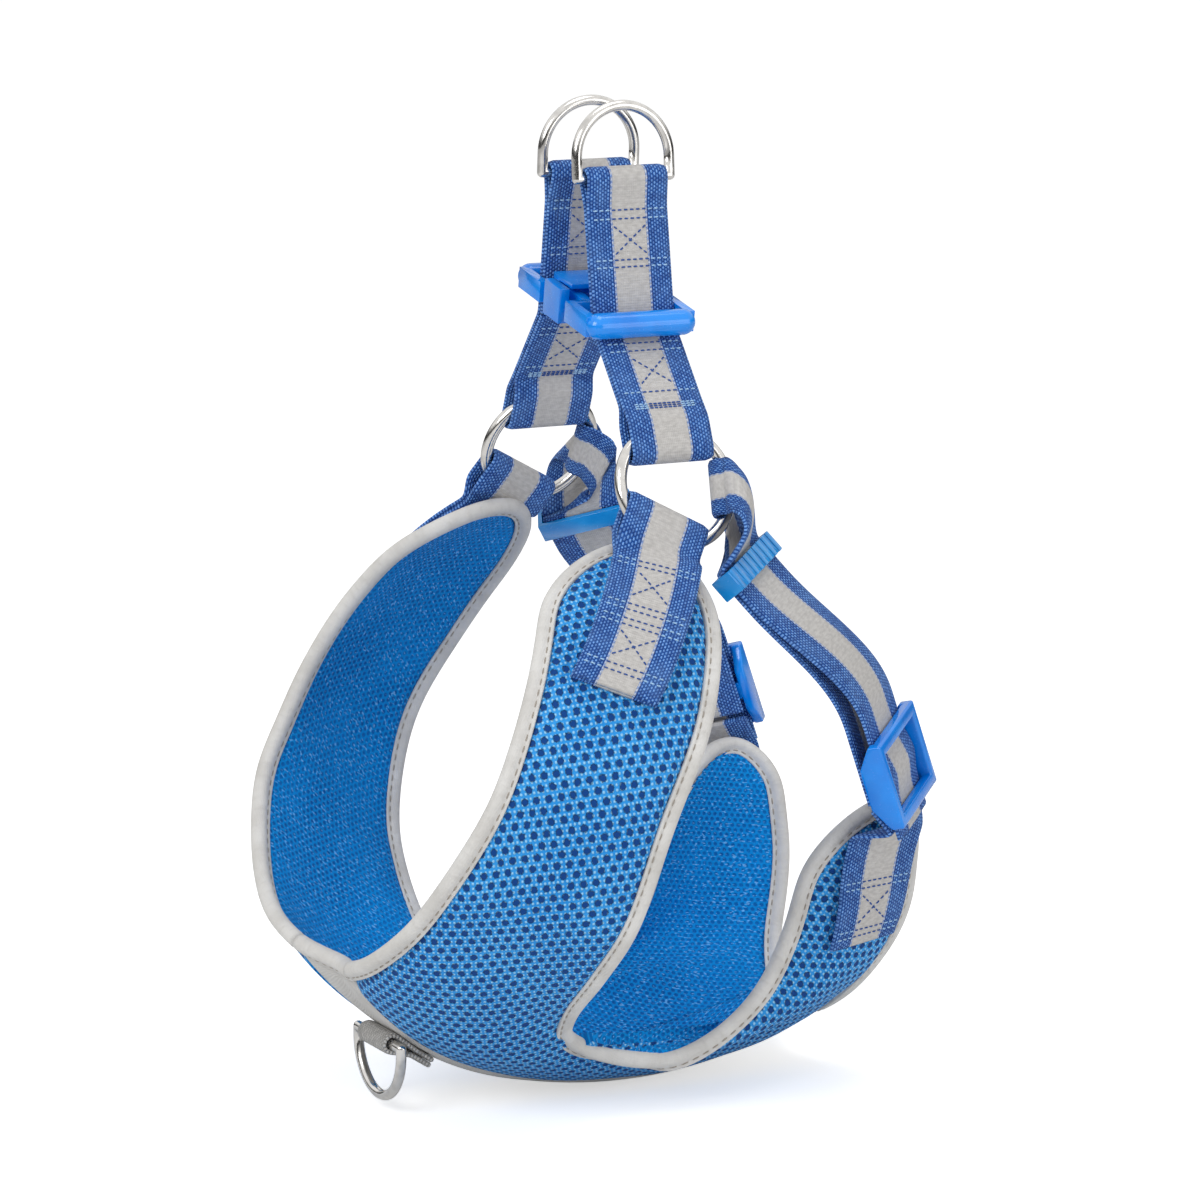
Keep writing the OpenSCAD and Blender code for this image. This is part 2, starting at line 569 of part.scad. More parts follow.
module prong(side) color(plastic) at_buckle() {
    translate([cross_in - 0.2, side * prong_y, -2.4]) cylinder(r = root_r, h = 4.8);
    translate([-6, side > 0 ? prong_y - root_r : -prong_y - root_r, -2.4])
        cube([cross_in + 5.8, 2 * root_r, 4.8]);
    translate([-6, side > 0 ? prong_y : -buckle_w / 2, -2.4])
        cube([3, buckle_w / 2 - prong_y, 4.8]);
    translate([-6, side > 0 ? pad_in : -buckle_w / 2, -buckle_h / 2])
        cube([pad_len, buckle_w / 2 - pad_in, buckle_h]);
}
module buckle_socket() color(plastic) at_buckle() {
    mirror([1, 0, 0]) strap_frame(6);
    for (side = [-1, 1])
        translate([-cross_in - 1, -plate_half, side > 0 ? buckle_h / 2 - plate_t : -buckle_h / 2])
            cube([cross_in + 1 + mouth_x, 2 * plate_half, plate_t]);
    translate([-cross_in - 3, -plate_half, -buckle_h / 2]) cube([4, 2 * plate_half, buckle_h]);
}

module right_side() mirror([1, 0, 0]) children();
module outer_mesh() color(mesh_blue) half_skin(binding_w + 0.1, 0, mesh_t, split_gap);
module lining() color(lining_blue) half_skin(binding_w + 0.1, -lining_t, 0, split_gap);

centre_strip();
centre_pad();
middle_binding(0);  // neck_binding
middle_binding(1);  // belly_binding
chest_tab();
chest_ring();
outer_mesh();  // left_outer_mesh
lining();  // left_lining
edge_binding();  // left_binding
shoulder_tab();  // left_shoulder_tab
shoulder_stripe();  // left_shoulder_stripe
side_ring();  // left_side_ring
girth_strap();  // left_girth_strap
girth_stripe();  // left_girth_stripe
keeper();  // left_keeper
slider();  // left_slider
wing_tab();  // left_wing_tab
back_strap();  // left_back_strap
back_stripe();  // left_back_stripe
leash_ring();  // left_leash_ring
buckle_fork();
prong(-1);  // front_prong
prong(1);  // rear_prong
right_side() outer_mesh();  // right_outer_mesh
right_side() lining();  // right_lining
right_side() edge_binding();  // right_binding
right_side() shoulder_tab();  // right_shoulder_tab
right_side() shoulder_stripe();  // right_shoulder_stripe
right_side() side_ring();  // right_side_ring
right_side() girth_strap();  // right_girth_strap
right_side() girth_stripe();  // right_girth_stripe
right_side() keeper();  // right_keeper
right_side() slider();  // right_slider
right_side() wing_tab();  // right_wing_tab
right_side() back_strap();  // right_back_strap
right_side() back_stripe();  // right_back_stripe
right_side() leash_ring();  // right_leash_ring
buckle_socket();
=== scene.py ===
import math
from functools import lru_cache

import bpy
import numpy as np
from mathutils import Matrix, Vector


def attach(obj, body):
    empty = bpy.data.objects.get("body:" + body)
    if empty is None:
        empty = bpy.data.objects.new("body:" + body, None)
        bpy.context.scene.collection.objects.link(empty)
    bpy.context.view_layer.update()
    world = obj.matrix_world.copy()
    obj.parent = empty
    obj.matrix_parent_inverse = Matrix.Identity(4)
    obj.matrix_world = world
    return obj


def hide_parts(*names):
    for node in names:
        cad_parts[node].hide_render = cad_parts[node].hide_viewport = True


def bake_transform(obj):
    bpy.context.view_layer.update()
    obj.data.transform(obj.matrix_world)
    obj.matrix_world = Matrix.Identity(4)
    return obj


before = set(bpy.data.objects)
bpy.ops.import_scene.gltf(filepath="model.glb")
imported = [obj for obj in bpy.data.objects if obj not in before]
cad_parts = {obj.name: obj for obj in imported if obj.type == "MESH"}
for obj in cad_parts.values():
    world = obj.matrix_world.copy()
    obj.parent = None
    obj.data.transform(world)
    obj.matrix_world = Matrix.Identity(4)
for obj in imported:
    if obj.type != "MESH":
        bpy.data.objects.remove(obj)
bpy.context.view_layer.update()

# Camera, standing a little in front of the dog's left side and slightly above the harness,
# with a long lens so that near and far straps keep almost the same scale.
scene = bpy.context.scene
view_azimuth, view_rise, view_distance = math.radians(63), math.radians(10.3), 1.5
looking_at = Vector((0, -0.003, 0))
towards_camera = Vector((math.sin(view_azimuth) * math.cos(view_rise),
                         -math.cos(view_azimuth) * math.cos(view_rise), math.sin(view_rise)))
camera = bpy.data.objects.new("camera", bpy.data.cameras.new("camera"))
scene.collection.objects.link(camera)
camera.location = looking_at + towards_camera * view_distance
camera.rotation_euler = (-towards_camera).to_track_quat("-Z", "Y").to_euler()
camera.data.lens = 157.5
camera.data.sensor_width = 36
camera.data.clip_start, camera.data.clip_end = 0.1, 20
scene.camera = camera

# Soft studio light: a broad key from the upper left of the camera, a weaker fill from the
# right and a top light for the rings.
scene.view_settings.view_transform = "Standard"


def softbox(name, place, size, power):
    lamp = bpy.data.objects.new(name, bpy.data.lights.new(name, "AREA"))
    scene.collection.objects.link(lamp)
    lamp.location = place
    lamp.rotation_euler = (Vector(place) * -1).to_track_quat("-Z", "Y").to_euler()
    lamp.data.shape = "RECTANGLE"
    lamp.data.size, lamp.data.size_y = size
    lamp.data.energy = power


softbox("key light", (0.55, -1.15, 0.75), (0.7, 0.7), 8)
softbox("fill light", (1.25, 0.65, 0.25), (0.8, 0.8), 4)
softbox("top light", (0.1, 0.1, 1.3), (0.7, 0.7), 4)


class Value:
    """A number, or a vector, that flows between a finish's nodes."""

    def __init__(self, finish, socket):
        self.finish, self.socket = finish, socket

    def maths(self, operation, *others):
        return self.finish.node("ShaderNodeMath", {"operation": operation},
                                {0: self, **{k + 1: other for k, other in enumerate(others)}})

    def __add__(self, other):
        return self.maths("ADD", other)

    def __mul__(self, other):
        return self.maths("MULTIPLY", other)

    def __sub__(self, other):
        return self.maths("SUBTRACT", other)

    def __truediv__(self, other):
        return self.maths("DIVIDE", other)

    def __rsub__(self, other):
        return (self * -1) + other

    def __abs__(self):
        return self.maths("ABSOLUTE")

    def wave(self):
        return self.maths("SINE")

    def fraction(self):
        return self.maths("FRACT")

    def whole(self):
        return self.maths("FLOOR")

    def least(self, other):
        return self.maths("MINIMUM", other)

    def power(self, other):
        return self.maths("POWER", other)

    def rise(self, low, high):
        """0 below low, 1 above high, and smooth between them."""
        return self.finish.node("ShaderNodeMapRange", {"interpolation_type": "SMOOTHSTEP"},
                                {"Value": self, "From Min": low, "From Max": high})


class Finish:
    """A material built from expressions, in millimetres along and across the piece."""

    def __init__(self, name):
        self.material = bpy.data.materials.new(name)
        self.material.use_nodes = True
        self.tree = self.material.node_tree
        self.surface = self.tree.nodes["Principled BSDF"]

    def node(self, kind, settings=None, inputs=None, output=0):
        made = self.tree.nodes.new(kind)
        for key, setting in (settings or {}).items():
            setattr(made, key, setting)
        self.feed(made, inputs or {})
        return Value(self, made.outputs[output])

    def feed(self, node, inputs):
        for key, value in inputs.items():
            if isinstance(value, Value):
                self.tree.links.new(value.socket, node.inputs[key])
            else:
                node.inputs[key].default_value = value

    def across_and_along(self):
        """Millimetres across and along the piece, from its UV map."""
        place = self.node("ShaderNodeUVMap", {"uv_map": "cloth"})
        parts = self.node("ShaderNodeSeparateXYZ", {}, {0: place})
        return parts, Value(self, parts.socket.node.outputs[1])

    def place(self):
        """Millimetres in the piece's own space."""
        here = self.node("ShaderNodeTexCoord", output=3)
        return self.node("ShaderNodeVectorMath", {"operation": "SCALE"},
                         {0: here, "Scale": 1000.0})

    def point(self, x, y, z=0.0):
        return self.node("ShaderNodeCombineXYZ", {}, {0: x, 1: y, 2: z})

    def mix(self, share, a, b):
        colours = [(*c, 1) if isinstance(c, tuple) else c for c in (a, b)]
        return self.node("ShaderNodeMix", {"data_type": "RGBA"},
                         {0: share, 6: colours[0], 7: colours[1]}, output=2)

    def cloud(self, where, scale, detail=2.0):
        return self.node("ShaderNodeTexNoise", {},
                         {"Vector": where, "Scale": scale, "Detail": detail})

    def relief(self, height, depth_mm):
        return self.node("ShaderNodeBump", {}, {"Strength": 1.0, "Distance": depth_mm / 1000,
                                                "Height": height})

    def close(self, **inputs):
        self.feed(self.surface, {key.replace("_", " "): value for key, value in inputs.items()})
        return self.material


# Floor and backdrop: plain pale card that shows white to the eye and keeps the harness's soft
# shadow. The room is white overhead with dark walls, which only metal and plastic mirror.
floor_z = -0.1412
floor_size = 30.0
floor_glow = 0.54
bpy.ops.mesh.primitive_plane_add(size=floor_size, location=(0, 0, floor_z))
floor = bpy.context.object
floor.name = "floor"
card = Finish("pale card")
paths = card.node("ShaderNodeLightPath")
card.close(Base_Color=(0.88, 0.88, 0.88, 1), Roughness=0.9,
           Emission_Color=(1, 1, 1, 1), Emission_Strength=paths * floor_glow)
floor.data.materials.append(card.material)


class Surround(Finish):
    """The room round the harness, built from expressions as a finish is."""

    def __init__(self, world):
        world.use_nodes = True
        self.tree = world.node_tree
        self.surface = self.tree.nodes["Background"]


scene.world = bpy.data.worlds.new("surround")
room = Surround(scene.world)
seen = room.node("ShaderNodeLightPath")
mirrored = Value(room, seen.socket.node.outputs["Is Glossy Ray"])
height = room.node("ShaderNodeSeparateXYZ", {}, {0: room.node("ShaderNodeTexCoord")}, output=2)
white, room_light, wall_mirrored, overhead_mirrored = 1.0, 0.52, 0.06, 1.01
dark_walls = mirrored * (height.rise(0.08, 0.42) * (overhead_mirrored - wall_mirrored)
                         - (room_light - wall_mirrored))
room.feed(room.surface, {"Color": (1, 1, 1, 1),
                         "Strength": seen * (white - room_light) + dark_walls + room_light})

# Vest shape: each half is cut as one panel with two limbs, the shoulder arm in front of the
# leg opening and the wing behind it. These curves are its edges, in millimetres, from the
# belly line out to each limb's tip; the seam joins the opening's low corner to the belly.
notch = (36, -29, -117)
seam = [(0, -30, -135), (14, -30, -132), (26, -30, -126), notch]
neck_edge = [(0, -86, -95), (18, -91, -92.5), (36, -92, -86), (53, -88, -73.5), (66, -81, -55),
             (69, -72, -39), (67, -64, -23), (60, -55, -6), (48, -46, 9), (32.8, -37, 19.6)]
leg_front = [notch, (45, -34, -108), (64, -34, -93), (78, -31, -76), (83, -23, -48),
             (78, -9, -22), (63, 2, 2), (41.8, 9.8, 19.5)]
leg_rear = [notch, (40, -12, -125), (41, 8, -121), (41, 25, -109), (42, 34, -92),
            (42, 40, -74), (44, 50, -54)]
belly_edge = [(0, 61, -125), (13, 65, -122), (24, 70, -113), (31, 76, -100), (35, 79, -88),
              (38, 79, -74), (42, 79, -54)]
arm, wing = 0, 1
front_side, back_side = -1, 1
seam_end, seam_length = 0.3, 140
tip_start = (0.87, 0.86)
limb_length = (200, 145)
strip_share_at = (0.11, 0.08, 0.15)
arch = 8
mesh_thick, lining_thick = 2.2, 1.5
binding_width, binding_thick = 5.0, 5.2
panel_rows = (12, 58, 14)
corner_reach = 0.14
step = 0.004


def unit(v):
    return v / np.linalg.norm(v)


def across_belly(p):
    return np.array((-p[0], p[1], p[2]), float)


def spline(points, u, before=None):
    last = len(points) - 1
    i = min(int(u), last - 1)
    p1, p2 = np.array(points[i], float), np.array(points[i + 1], float)
    if i > 0:
        p0 = np.array(points[i - 1], float)
    else:
        p0 = across_belly(p2) if before is None else np.array(before, float)
    p3 = np.array(points[i + 2], float) if i < last - 1 else 2 * p2 - p1
    w = u - i
    return p1 + 0.5 * w * (p2 - p0 + w * (2 * p0 - 5 * p1 + 4 * p2 - p3
                                          + w * (3 * (p1 - p2) + p3 - p0)))


def along(points, t):
    if t < 0:
        return across_belly(spline(points, -t * (len(points) - 1)))
    return spline(points, t * (len(points) - 1))


def opening_edge(points, other, t):
    if t < seam_end:
        return along(seam, t / seam_end)
    return spline(points, (t - seam_end) / (1 - seam_end) * (len(points) - 1), other[1])


@lru_cache(maxsize=None)
def edges(limb, t):
    if limb == arm:
        return along(neck_edge, t), opening_edge(leg_front, leg_rear, t)
    return opening_edge(leg_rear, leg_front, t), along(belly_edge, t)


def by_corner(t):
    """How near a row is to the opening's low corner, where only its free edge runs outwards."""
    return max(0.0, 1 - abs(t - seam_end) / corner_reach)


@lru_cache(maxsize=None)
def limb_out(limb, t):
    a, b = edges(limb, t)
    run = np.array(edges(limb, t + step)) - np.array(edges(limb, t - step))
    return unit(np.cross(b - a, run[limb] + run[1 - limb] * (1 - by_corner(t))))


def skin(limb, s, t):
    """Middle of the vest's thickness, s from -1 at a limb's front edge to 1 at its back."""
    a, b = edges(limb, t)
    bulge = arch * (1 - 0.45 * min(1, t / 0.5)) * (1 - s * s)
    return (a + b) / 2 + s * (b - a) / 2 + bulge * limb_out(limb, t)


def patch_out(limb, s, t):
    free = front_side if limb == arm else back_side
    run = [skin(limb, place, t + step) - skin(limb, place, t - step) for place in (s, free)]
    return unit(np.cross(skin(limb, s + step, t) - skin(limb, s - step, t),
                         run[0] * (1 - by_corner(t)) + run[1] * by_corner(t)))


def skin_out(limb, s, t):
    if t < seam_end and abs(s - (1 - 2 * limb)) < 0.01:
        return unit(patch_out(arm, 1, t) + patch_out(wing, -1, t))
    return patch_out(limb, s, t)


def strip_share(limb, s):
    k = (1 + s) / 2
    return strip_share_at[limb] * (1 - k) + strip_share_at[limb + 1] * k


def limb_width(limb, t):
    a, b = edges(limb, t)
    return np.linalg.norm(b - a)


def grid_place(limb, i, v, inset):
    """Place (s, t) of row i, column share v, on a panel held back from its edges by inset."""
    seam_rows, limb_rows, tip_rows = panel_rows
    notch_share = seam_end - inset / seam_length
    tip = tip_start[limb]
    reach = 1 - tip - inset / limb_length[limb]
    begin = strip_share(limb, v)
    turn = 0.0
    if i <= seam_rows:
        t = begin + (notch_share - begin) * i / seam_rows
    elif i <= seam_rows + limb_rows:
        t = notch_share + (tip - notch_share) * (i - seam_rows) / limb_rows
    else:
        turn = math.radians(86) * (i - seam_rows - limb_rows) / tip_rows
        t = tip + reach * math.sin(turn)
    k = (t - notch_share) / 0.06
    opened = 0 if k <= 0 else inset * math.sin(math.radians(90 * min(k, 1)))
    w = limb_width(limb, t)
    low = -1 + 2 * (inset if limb == arm else opened) / w
    high = 1 - 2 * (opened if limb == arm else inset) / w
    return (low + high) / 2 + v * math.cos(turn) * (high - low) / 2, t


def build(name, points, faces, finishes, uvs=None, face_finish=None, right=False):
    """A mesh from points in millimetres, mirrored across the belly line for the right side.
    uvs are millimetres across and along the cloth, one pair for each point."""
    points = np.array(points, float)
    if right:
        points = points * (-1, 1, 1)
        faces = [tuple(reversed(f)) for f in faces]
    made = bpy.data.meshes.new(name)
    made.from_pydata((points / 1000).tolist(), [], [tuple(f) for f in faces])
    for finish in finishes:
        made.materials.append(finish)
    if face_finish is not None:
        made.polygons.foreach_set("material_index", face_finish)
    made.polygons.foreach_set("use_smooth", [True] * len(faces))
    if uvs is not None:
        uvs = np.array(uvs, float)
        layer = made.uv_layers.new(name="cloth")
        corners = np.empty(len(made.loops), int)
        made.loops.foreach_get("vertex_index", corners)
        layer.data.foreach_set("uv", uvs[corners].ravel())
    made.validate()
    piece = bpy.data.objects.new(name, made)
    scene.collection.objects.link(piece)
    return piece


def bend_with(piece):
    """Bakes the piece's placement into its mesh."""
    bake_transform(piece)


# Padded panels: spacer mesh outside and knitted lining inside, over thin foam, one panel
# for each side. The outside is a light blue knit with open holes in staggered rows, painted
# dark as the shade inside them, with painted highlights on its raised loops; the lining is a
# denser, deeper blue knit with small bright flecks, painted darker as shade in its dimples.
outside_knit = Finish("outer air mesh")
u, v = outside_knit.across_and_along()
wander = outside_knit.cloud(outside_knit.point(u, v), 0.08)
u = u + (wander - 0.5) * 1.6


def from_hole(u, v, across, along):
    """Millimetres from the middle of the nearest of the knit's holes, in staggered rows."""
    def in_rows(shift):
        du = ((u / across + shift).fraction() - 0.5) * across
        dv = ((v / (2 * along) + shift).fraction() - 0.5) * 2 * along * 0.9
        return (du * du + dv * dv).power(0.5)

    return in_rows(0.0).least(in_rows(0.5))


hole = from_hole(u, v, 3.3, 3.0)
yarn = outside_knit.cloud(outside_knit.point(u * 1.3, v), 1.5, 4.0)
ragged = hole + (yarn - 0.5) * 1.1
rim = ragged.rise(0.66, 1.10)
loops = ((u * 5.2).wave() * 0.5 + 0.5) * ((v * 4.6).wave() * 0.5 + 0.5)
shade = outside_knit.cloud(outside_knit.place(), 0.05)
light_yarn = outside_knit.mix(shade.rise(0.35, 0.65), (0.02, 0.34, 0.84), (0.05, 0.44, 0.96))
# Between the loops the yarn is mixed towards dark blue as painted shade, and on their crests towards
# near-white blue as painted highlights.
yarns = outside_knit.mix(loops.rise(0.1, 0.8), outside_knit.mix(0.55, light_yarn, (0.005, 0.20, 0.62)),
                         outside_knit.mix(0.75, light_yarn, (0.40, 0.74, 1.0)))
# The holes are painted nearly black: painted shade inside the open holes.
knit_colour = outside_knit.mix(rim, (0.0, 0.05, 0.24), yarns)
knit_height = rim + loops * rim * 0.35
outside_knit.close(Base_Color=knit_colour, Roughness=rim * -0.15 + 0.85,
                   Normal=outside_knit.relief(knit_height, 0.9), Specular_IOR_Level=0.25,
                   Sheen_Weight=0.05, Sheen_Roughness=0.5)

inside_knit = Finish("knitted lining")
u, v = inside_knit.across_and_along()
dimple = from_hole(u, v, 1.75, 1.75)
yarn = inside_knit.cloud(inside_knit.point(u, v), 2.6, 3.0)
raised = (dimple + (yarn - 0.5) * 0.5).rise(0.30, 0.75)
patches = inside_knit.cloud(inside_knit.place(), 0.045)
slant = inside_knit.point(u * 1.3 + v * 0.7, v * 0.45 - u * 0.3, 7.0)
fleck = inside_knit.cloud(slant, 1.25, 1.0).rise(0.60, 0.70)
deep = inside_knit.mix(patches.rise(0.35, 0.7), (0.0, 0.115, 0.42), (0.0, 0.18, 0.58))
# The raised yarn is painted lighter than the dimples: painted shade in the dimples.
lining_colour = inside_knit.mix(raised, deep, inside_knit.mix(0.6, deep, (0.0, 0.34, 0.88)))
lining_colour = inside_knit.mix(fleck * 0.65, lining_colour, (0.20, 0.55, 1.0))
inside_knit.close(Base_Color=lining_colour, Roughness=fleck * -0.3 + 0.8,
                  Normal=inside_knit.relief(raised + yarn * 0.4, 0.35),
                  Specular_IOR_Level=0.15, Sheen_Weight=0.02, Sheen_Roughness=0.5)

panel_columns = 30


def panel_grid():
    rows = sum(panel_rows)
    pair = 2 * (panel_columns + 1)
    inset = binding_width - 0.4
    places = [(limb, *grid_place(limb, i, 2 * j / panel_columns - 1, inset), j)
              for i in range(rows + 1) for limb in (arm, wing) for j in range(panel_columns + 1)]

    def at(limb, i, j):
        if limb == wing and j == 0 and i <= panel_rows[0]:
            return i * pair + panel_columns
        return i * pair + limb * (panel_columns + 1) + j

    quads = [(at(limb, i, j), at(limb, i, j + 1), at(limb, i + 1, j + 1), at(limb, i + 1, j))
             for i in range(rows) for limb in (arm, wing) for j in range(panel_columns)]
    edge = ([at(arm, 0, j) for j in range(panel_columns + 1)]
            + [at(wing, 0, j) for j in range(1, panel_columns + 1)]
            + [at(wing, i, panel_columns) for i in range(1, rows + 1)]
            + [at(wing, rows, j) for j in range(panel_columns - 1, -1, -1)]
            + [at(wing, i, 0) for i in range(rows - 1, panel_rows[0] - 1, -1)]
            + [at(arm, i, panel_columns) for i in range(panel_rows[0] + 1, rows + 1)]
            + [at(arm, rows, j) for j in range(panel_columns - 1, -1, -1)]
            + [at(arm, i, 0) for i in range(rows - 1, 0, -1)])
    used = sorted({k for q in quads for k in q})
    number = {k: n for n, k in enumerate(used)}
    quads = [tuple(number[k] for k in q) for q in quads]
    return [places[k] for k in used], quads, [number[k] for k in edge]


def flattened(points, quads):
    """Millimetres across and along the cloth for each point, as it lay before it was sewn."""
    sample = build("pattern", points, quads, [])
    bpy.context.view_layer.objects.active = sample
    sample.select_set(True)
    bpy.ops.object.mode_set(mode="EDIT")
    bpy.ops.mesh.select_all(action="SELECT")
    bpy.ops.uv.unwrap(method="ANGLE_BASED", margin=0.0)
    bpy.ops.object.mode_set(mode="OBJECT")
    flat = np.zeros((len(points), 2))
    for loop, uv in zip(sample.data.loops, sample.data.uv_layers.active.data):
        flat[loop.vertex_index] = uv.uv
    bpy.data.objects.remove(sample)
    a, b, c, d = np.array(quads).T
    points = np.array(points)
    size = np.linalg.norm(np.cross(points[c] - points[a], points[d] - points[b]), axis=1).sum()
    p, q = flat[c] - flat[a], flat[d] - flat[b]
    flat *= math.sqrt(size / np.abs(p[:, 0] * q[:, 1] - p[:, 1] * q[:, 0]).sum())
    far = flat[int(np.argmax(points[:, 2]))] - flat.mean(0)
    turn = math.pi / 2 - math.atan2(far[1], far[0])
    c, s = math.cos(turn), math.sin(turn)
    return (flat - flat.mean(0)) @ np.array(((c, s), (-s, c)))


places, quads, rim_line = panel_grid()
middle = np.array([skin(limb, s, t) for limb, s, t, j in places])
outward = np.array([skin_out(limb, s, t) for limb, s, t, j in places])
cloth_uv = flattened(middle, quads)
near_edge = np.array([min(1.0, (1 - abs(2 * j / panel_columns - 1)) * panel_columns / 5)
                      for limb, s, t, j in places])
near_tip = np.array([min(1.0, (1 - t) * limb_length[limb] / 12) for limb, s, t, j in places])
seam_side = np.array([1.0 if t < seam_end and (s > 0) == (limb == arm) else 0.0
                      for limb, s, t, j in places])
puff = np.maximum(near_edge, seam_side) * near_tip
puff = 1 - (1 - puff) ** 2
ripple = (np.sin(middle[:, 2] / 7.0 + middle[:, 1] / 9.0)
          * np.sin(middle[:, 0] / 8.0 - middle[:, 1] / 13.0)) * 0.35 * puff
outer_face = middle + outward * (0.9 + (mesh_thick - 0.8) * puff + ripple)[:, None]
inner_face = middle - outward * (0.6 + (lining_thick - 0.5) * puff - ripple)[:, None]
count = len(middle)
panel_faces = (quads + [tuple(k + count for k in reversed(q)) for q in quads]
               + [(rim_line[k], rim_line[k - 1], rim_line[k - 1] + count, rim_line[k] + count)
                  for k in range(len(rim_line))])
panel_finish = [0] * len(quads) + [1] * (len(quads) + len(rim_line))
for side in ("left", "right"):
    panel = build(side + "_panel", np.vstack((outer_face, inner_face)), panel_faces,
                  [outside_knit.material, inside_knit.material],
                  np.vstack((cloth_uv, cloth_uv)), panel_finish, side == "right")
    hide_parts(side + "_outer_mesh", side + "_lining")
    bend_with(panel)

# Edge binding: light grey satin tape folded over the panels' raw edges and sewn through with
# one row of thread. Its free edge is full and round, and a thin lip shows inside the stitches.
satin = Finish("grey satin binding")
u, v = satin.across_and_along()
pucker = satin.cloud(satin.point(u * 0.25, v * 0.55), 0.9, 3.0)
wear = satin.cloud(satin.place(), 0.09, 3.0)
ribs = (u * 9.0 + v * 2.0).wave() * 0.5 + 0.5
satin_colour = satin.mix(wear.rise(0.3, 0.7), (0.59, 0.575, 0.55), (0.69, 0.68, 0.66))
# Where the tape puckers it is painted darker: painted shade of its wrinkles.
satin_colour = satin.mix(pucker.rise(0.5, 0.75) * 0.35, satin_colour, (0.50, 0.485, 0.46))
satin.close(Base_Color=satin_colour, Roughness=wear * 0.15 + 0.48,
            Normal=satin.relief(pucker * 1.0 + ribs * 0.06, 0.5),
            Specular_IOR_Level=0.3, Sheen_Weight=0.05, Sheen_Roughness=0.4)
binding_face = [(-2.5, 1.2), (-2.45, 1.7), (-1.95, 1.9), (-1.35, 1.5), (-0.8, 1.95),
                (0.1, 2.35), (1.1, 2.35), (1.95, 1.85), (2.45, 0.95), (2.6, 0)]
binding_round = binding_face + [(a, -b) for a, b in reversed(binding_face[:-1])]


def edge_of_half():
    """Places (limb, s, t) round a half's edge, from the neck round to the belly."""
    last, first = sum(panel_rows), panel_rows[0]

    def at(limb, i, v):
        return (limb, *grid_place(limb, i, v, 0.0))

    return ([at(arm, i, -1) for i in range(last + 1)] + [at(arm, last, 0)]
            + [at(arm, i, 1) for i in range(last, first - 1, -1)]
            + [at(wing, i, -1) for i in range(first + 1, last + 1)] + [at(wing, last, 0)]
            + [at(wing, i, 1) for i in range(last, -1, -1)])


def run_along(points):
    """Millimetres from a line's first point to each of its points."""
    return np.concatenate(([0], np.cumsum(np.linalg.norm(np.diff(points, axis=0), axis=1))))


def picked(values, gone, at):
    """values along a line, at one distance or several."""
    return np.array([np.interp(at, gone, column) for column in np.array(values).T])


def units(rows):
    return rows / np.linalg.norm(rows, axis=1)[:, None]


def smoothed(values, passes):
    values = np.array(values, float)
    for _ in range(passes):
        values[1:-1] = values[1:-1] / 2 + (values[:-2] + values[2:]) / 4
    return values


def evenly(values, places, spacing):
    """values along a line, taken again at an even spacing in millimetres."""
    gone = run_along(places)
    steps = np.linspace(0, gone[-1], max(2, int(gone[-1] / spacing) + 1))
    return picked(values, gone, steps).T


tape_step = 1.5


def tape(points, out, held_in=0.0, passes=3):
    """Stations along bound edge: place, way to the free edge, way out, distance."""
    out = smoothed(evenly(out, points, tape_step), passes)
    points = smoothed(evenly(points, points, tape_step), passes)
    for inward in (held_in, 0.0):
        ahead = units(np.gradient(points, axis=0))
        side = units(np.cross(out, ahead))
        points = smoothed(points - side * inward, 2)
    return points, side, np.cross(ahead, side), run_along(points)


def sleeve(rings, n):
    """Faces of a closed section of n points carried along rings, with both ends capped."""
    faces = [(k * n + j, (k + 1) * n + j, (k + 1) * n + (j + 1) % n, k * n + (j + 1) % n)
             for k in range(rings - 1) for j in range(n)]
    return faces + [tuple(range(n)), tuple((rings - 1) * n + j for j in range(n - 1, -1, -1))]


def tube(stations, section):
    """Points, faces and cloth places of a closed section carried along stations."""
    places, side, out, gone = stations
    a, b = np.array(section).T
    points = (places[:, None] + side[:, None] * a[None, :, None]
              + out[:, None] * b[None, :, None]).reshape(-1, 3)
    round_it = np.concatenate(([0], np.cumsum(np.hypot(np.diff(a), np.diff(b)))))
    uv = np.array([(across, distance) for distance in gone for across in round_it])
    return points, sleeve(len(places), len(section)), uv


thread_rings = [(0.0, -0.22, 0.08), (0.15, 0.06, 0.2), (0.5, 0.14, 0.23), (0.85, 0.06, 0.2),
                (1.0, -0.22, 0.08)]
thread_sides = 6


def sew(name, stitches, threads, right=False, thick=1.0):
    """One mesh of thread, a low loop for each stitch (start, end, way out, which thread)."""
    points, faces, uv, which = [], [], [], []
    for start, end, out, thread in stitches:
        side = unit(np.cross(out, end - start))
        first = len(points)
        for share, lift, radius in thread_rings:
            middle = start + (end - start) * share + out * lift * thick
            for j in range(thread_sides):
                turn = 2 * math.pi * j / thread_sides
                points.append(middle + (side * math.cos(turn) + out * math.sin(turn))
                              * radius * thick)
                uv.append((j / thread_sides, share))
        for k in range(len(thread_rings) - 1):
            for j in range(thread_sides):
                a, b = first + k * thread_sides + j, first + k * thread_sides + (j + 1) % thread_sides
                faces.append((a, b, b + thread_sides, a + thread_sides))
                which.append(thread)
    return build(name, points, faces, threads, uv, which, right)


def spun_thread(name, dark, light):
    finish = Finish(name)
    u, v = finish.across_and_along()
    twist = (v * 38 + u * 12).wave() * 0.5 + 0.5
    # The twist's ridges are painted lighter and its grooves darker: painted shade between the plies.
    return finish.close(Base_Color=finish.mix(twist, dark, light), Roughness=twist * 0.2 + 0.5,
                        Normal=finish.relief(twist, 0.08), Specular_IOR_Level=0.3)


binding_thread = [spun_thread("grey thread", (0.28, 0.24, 0.20), (0.50, 0.46, 0.41))]
binding_lift = (mesh_thick - lining_thick) / 2
stitch_pitch, stitch_length = 3.2, 2.2
stitch_inset, stitch_lift = -1.35, 1.55


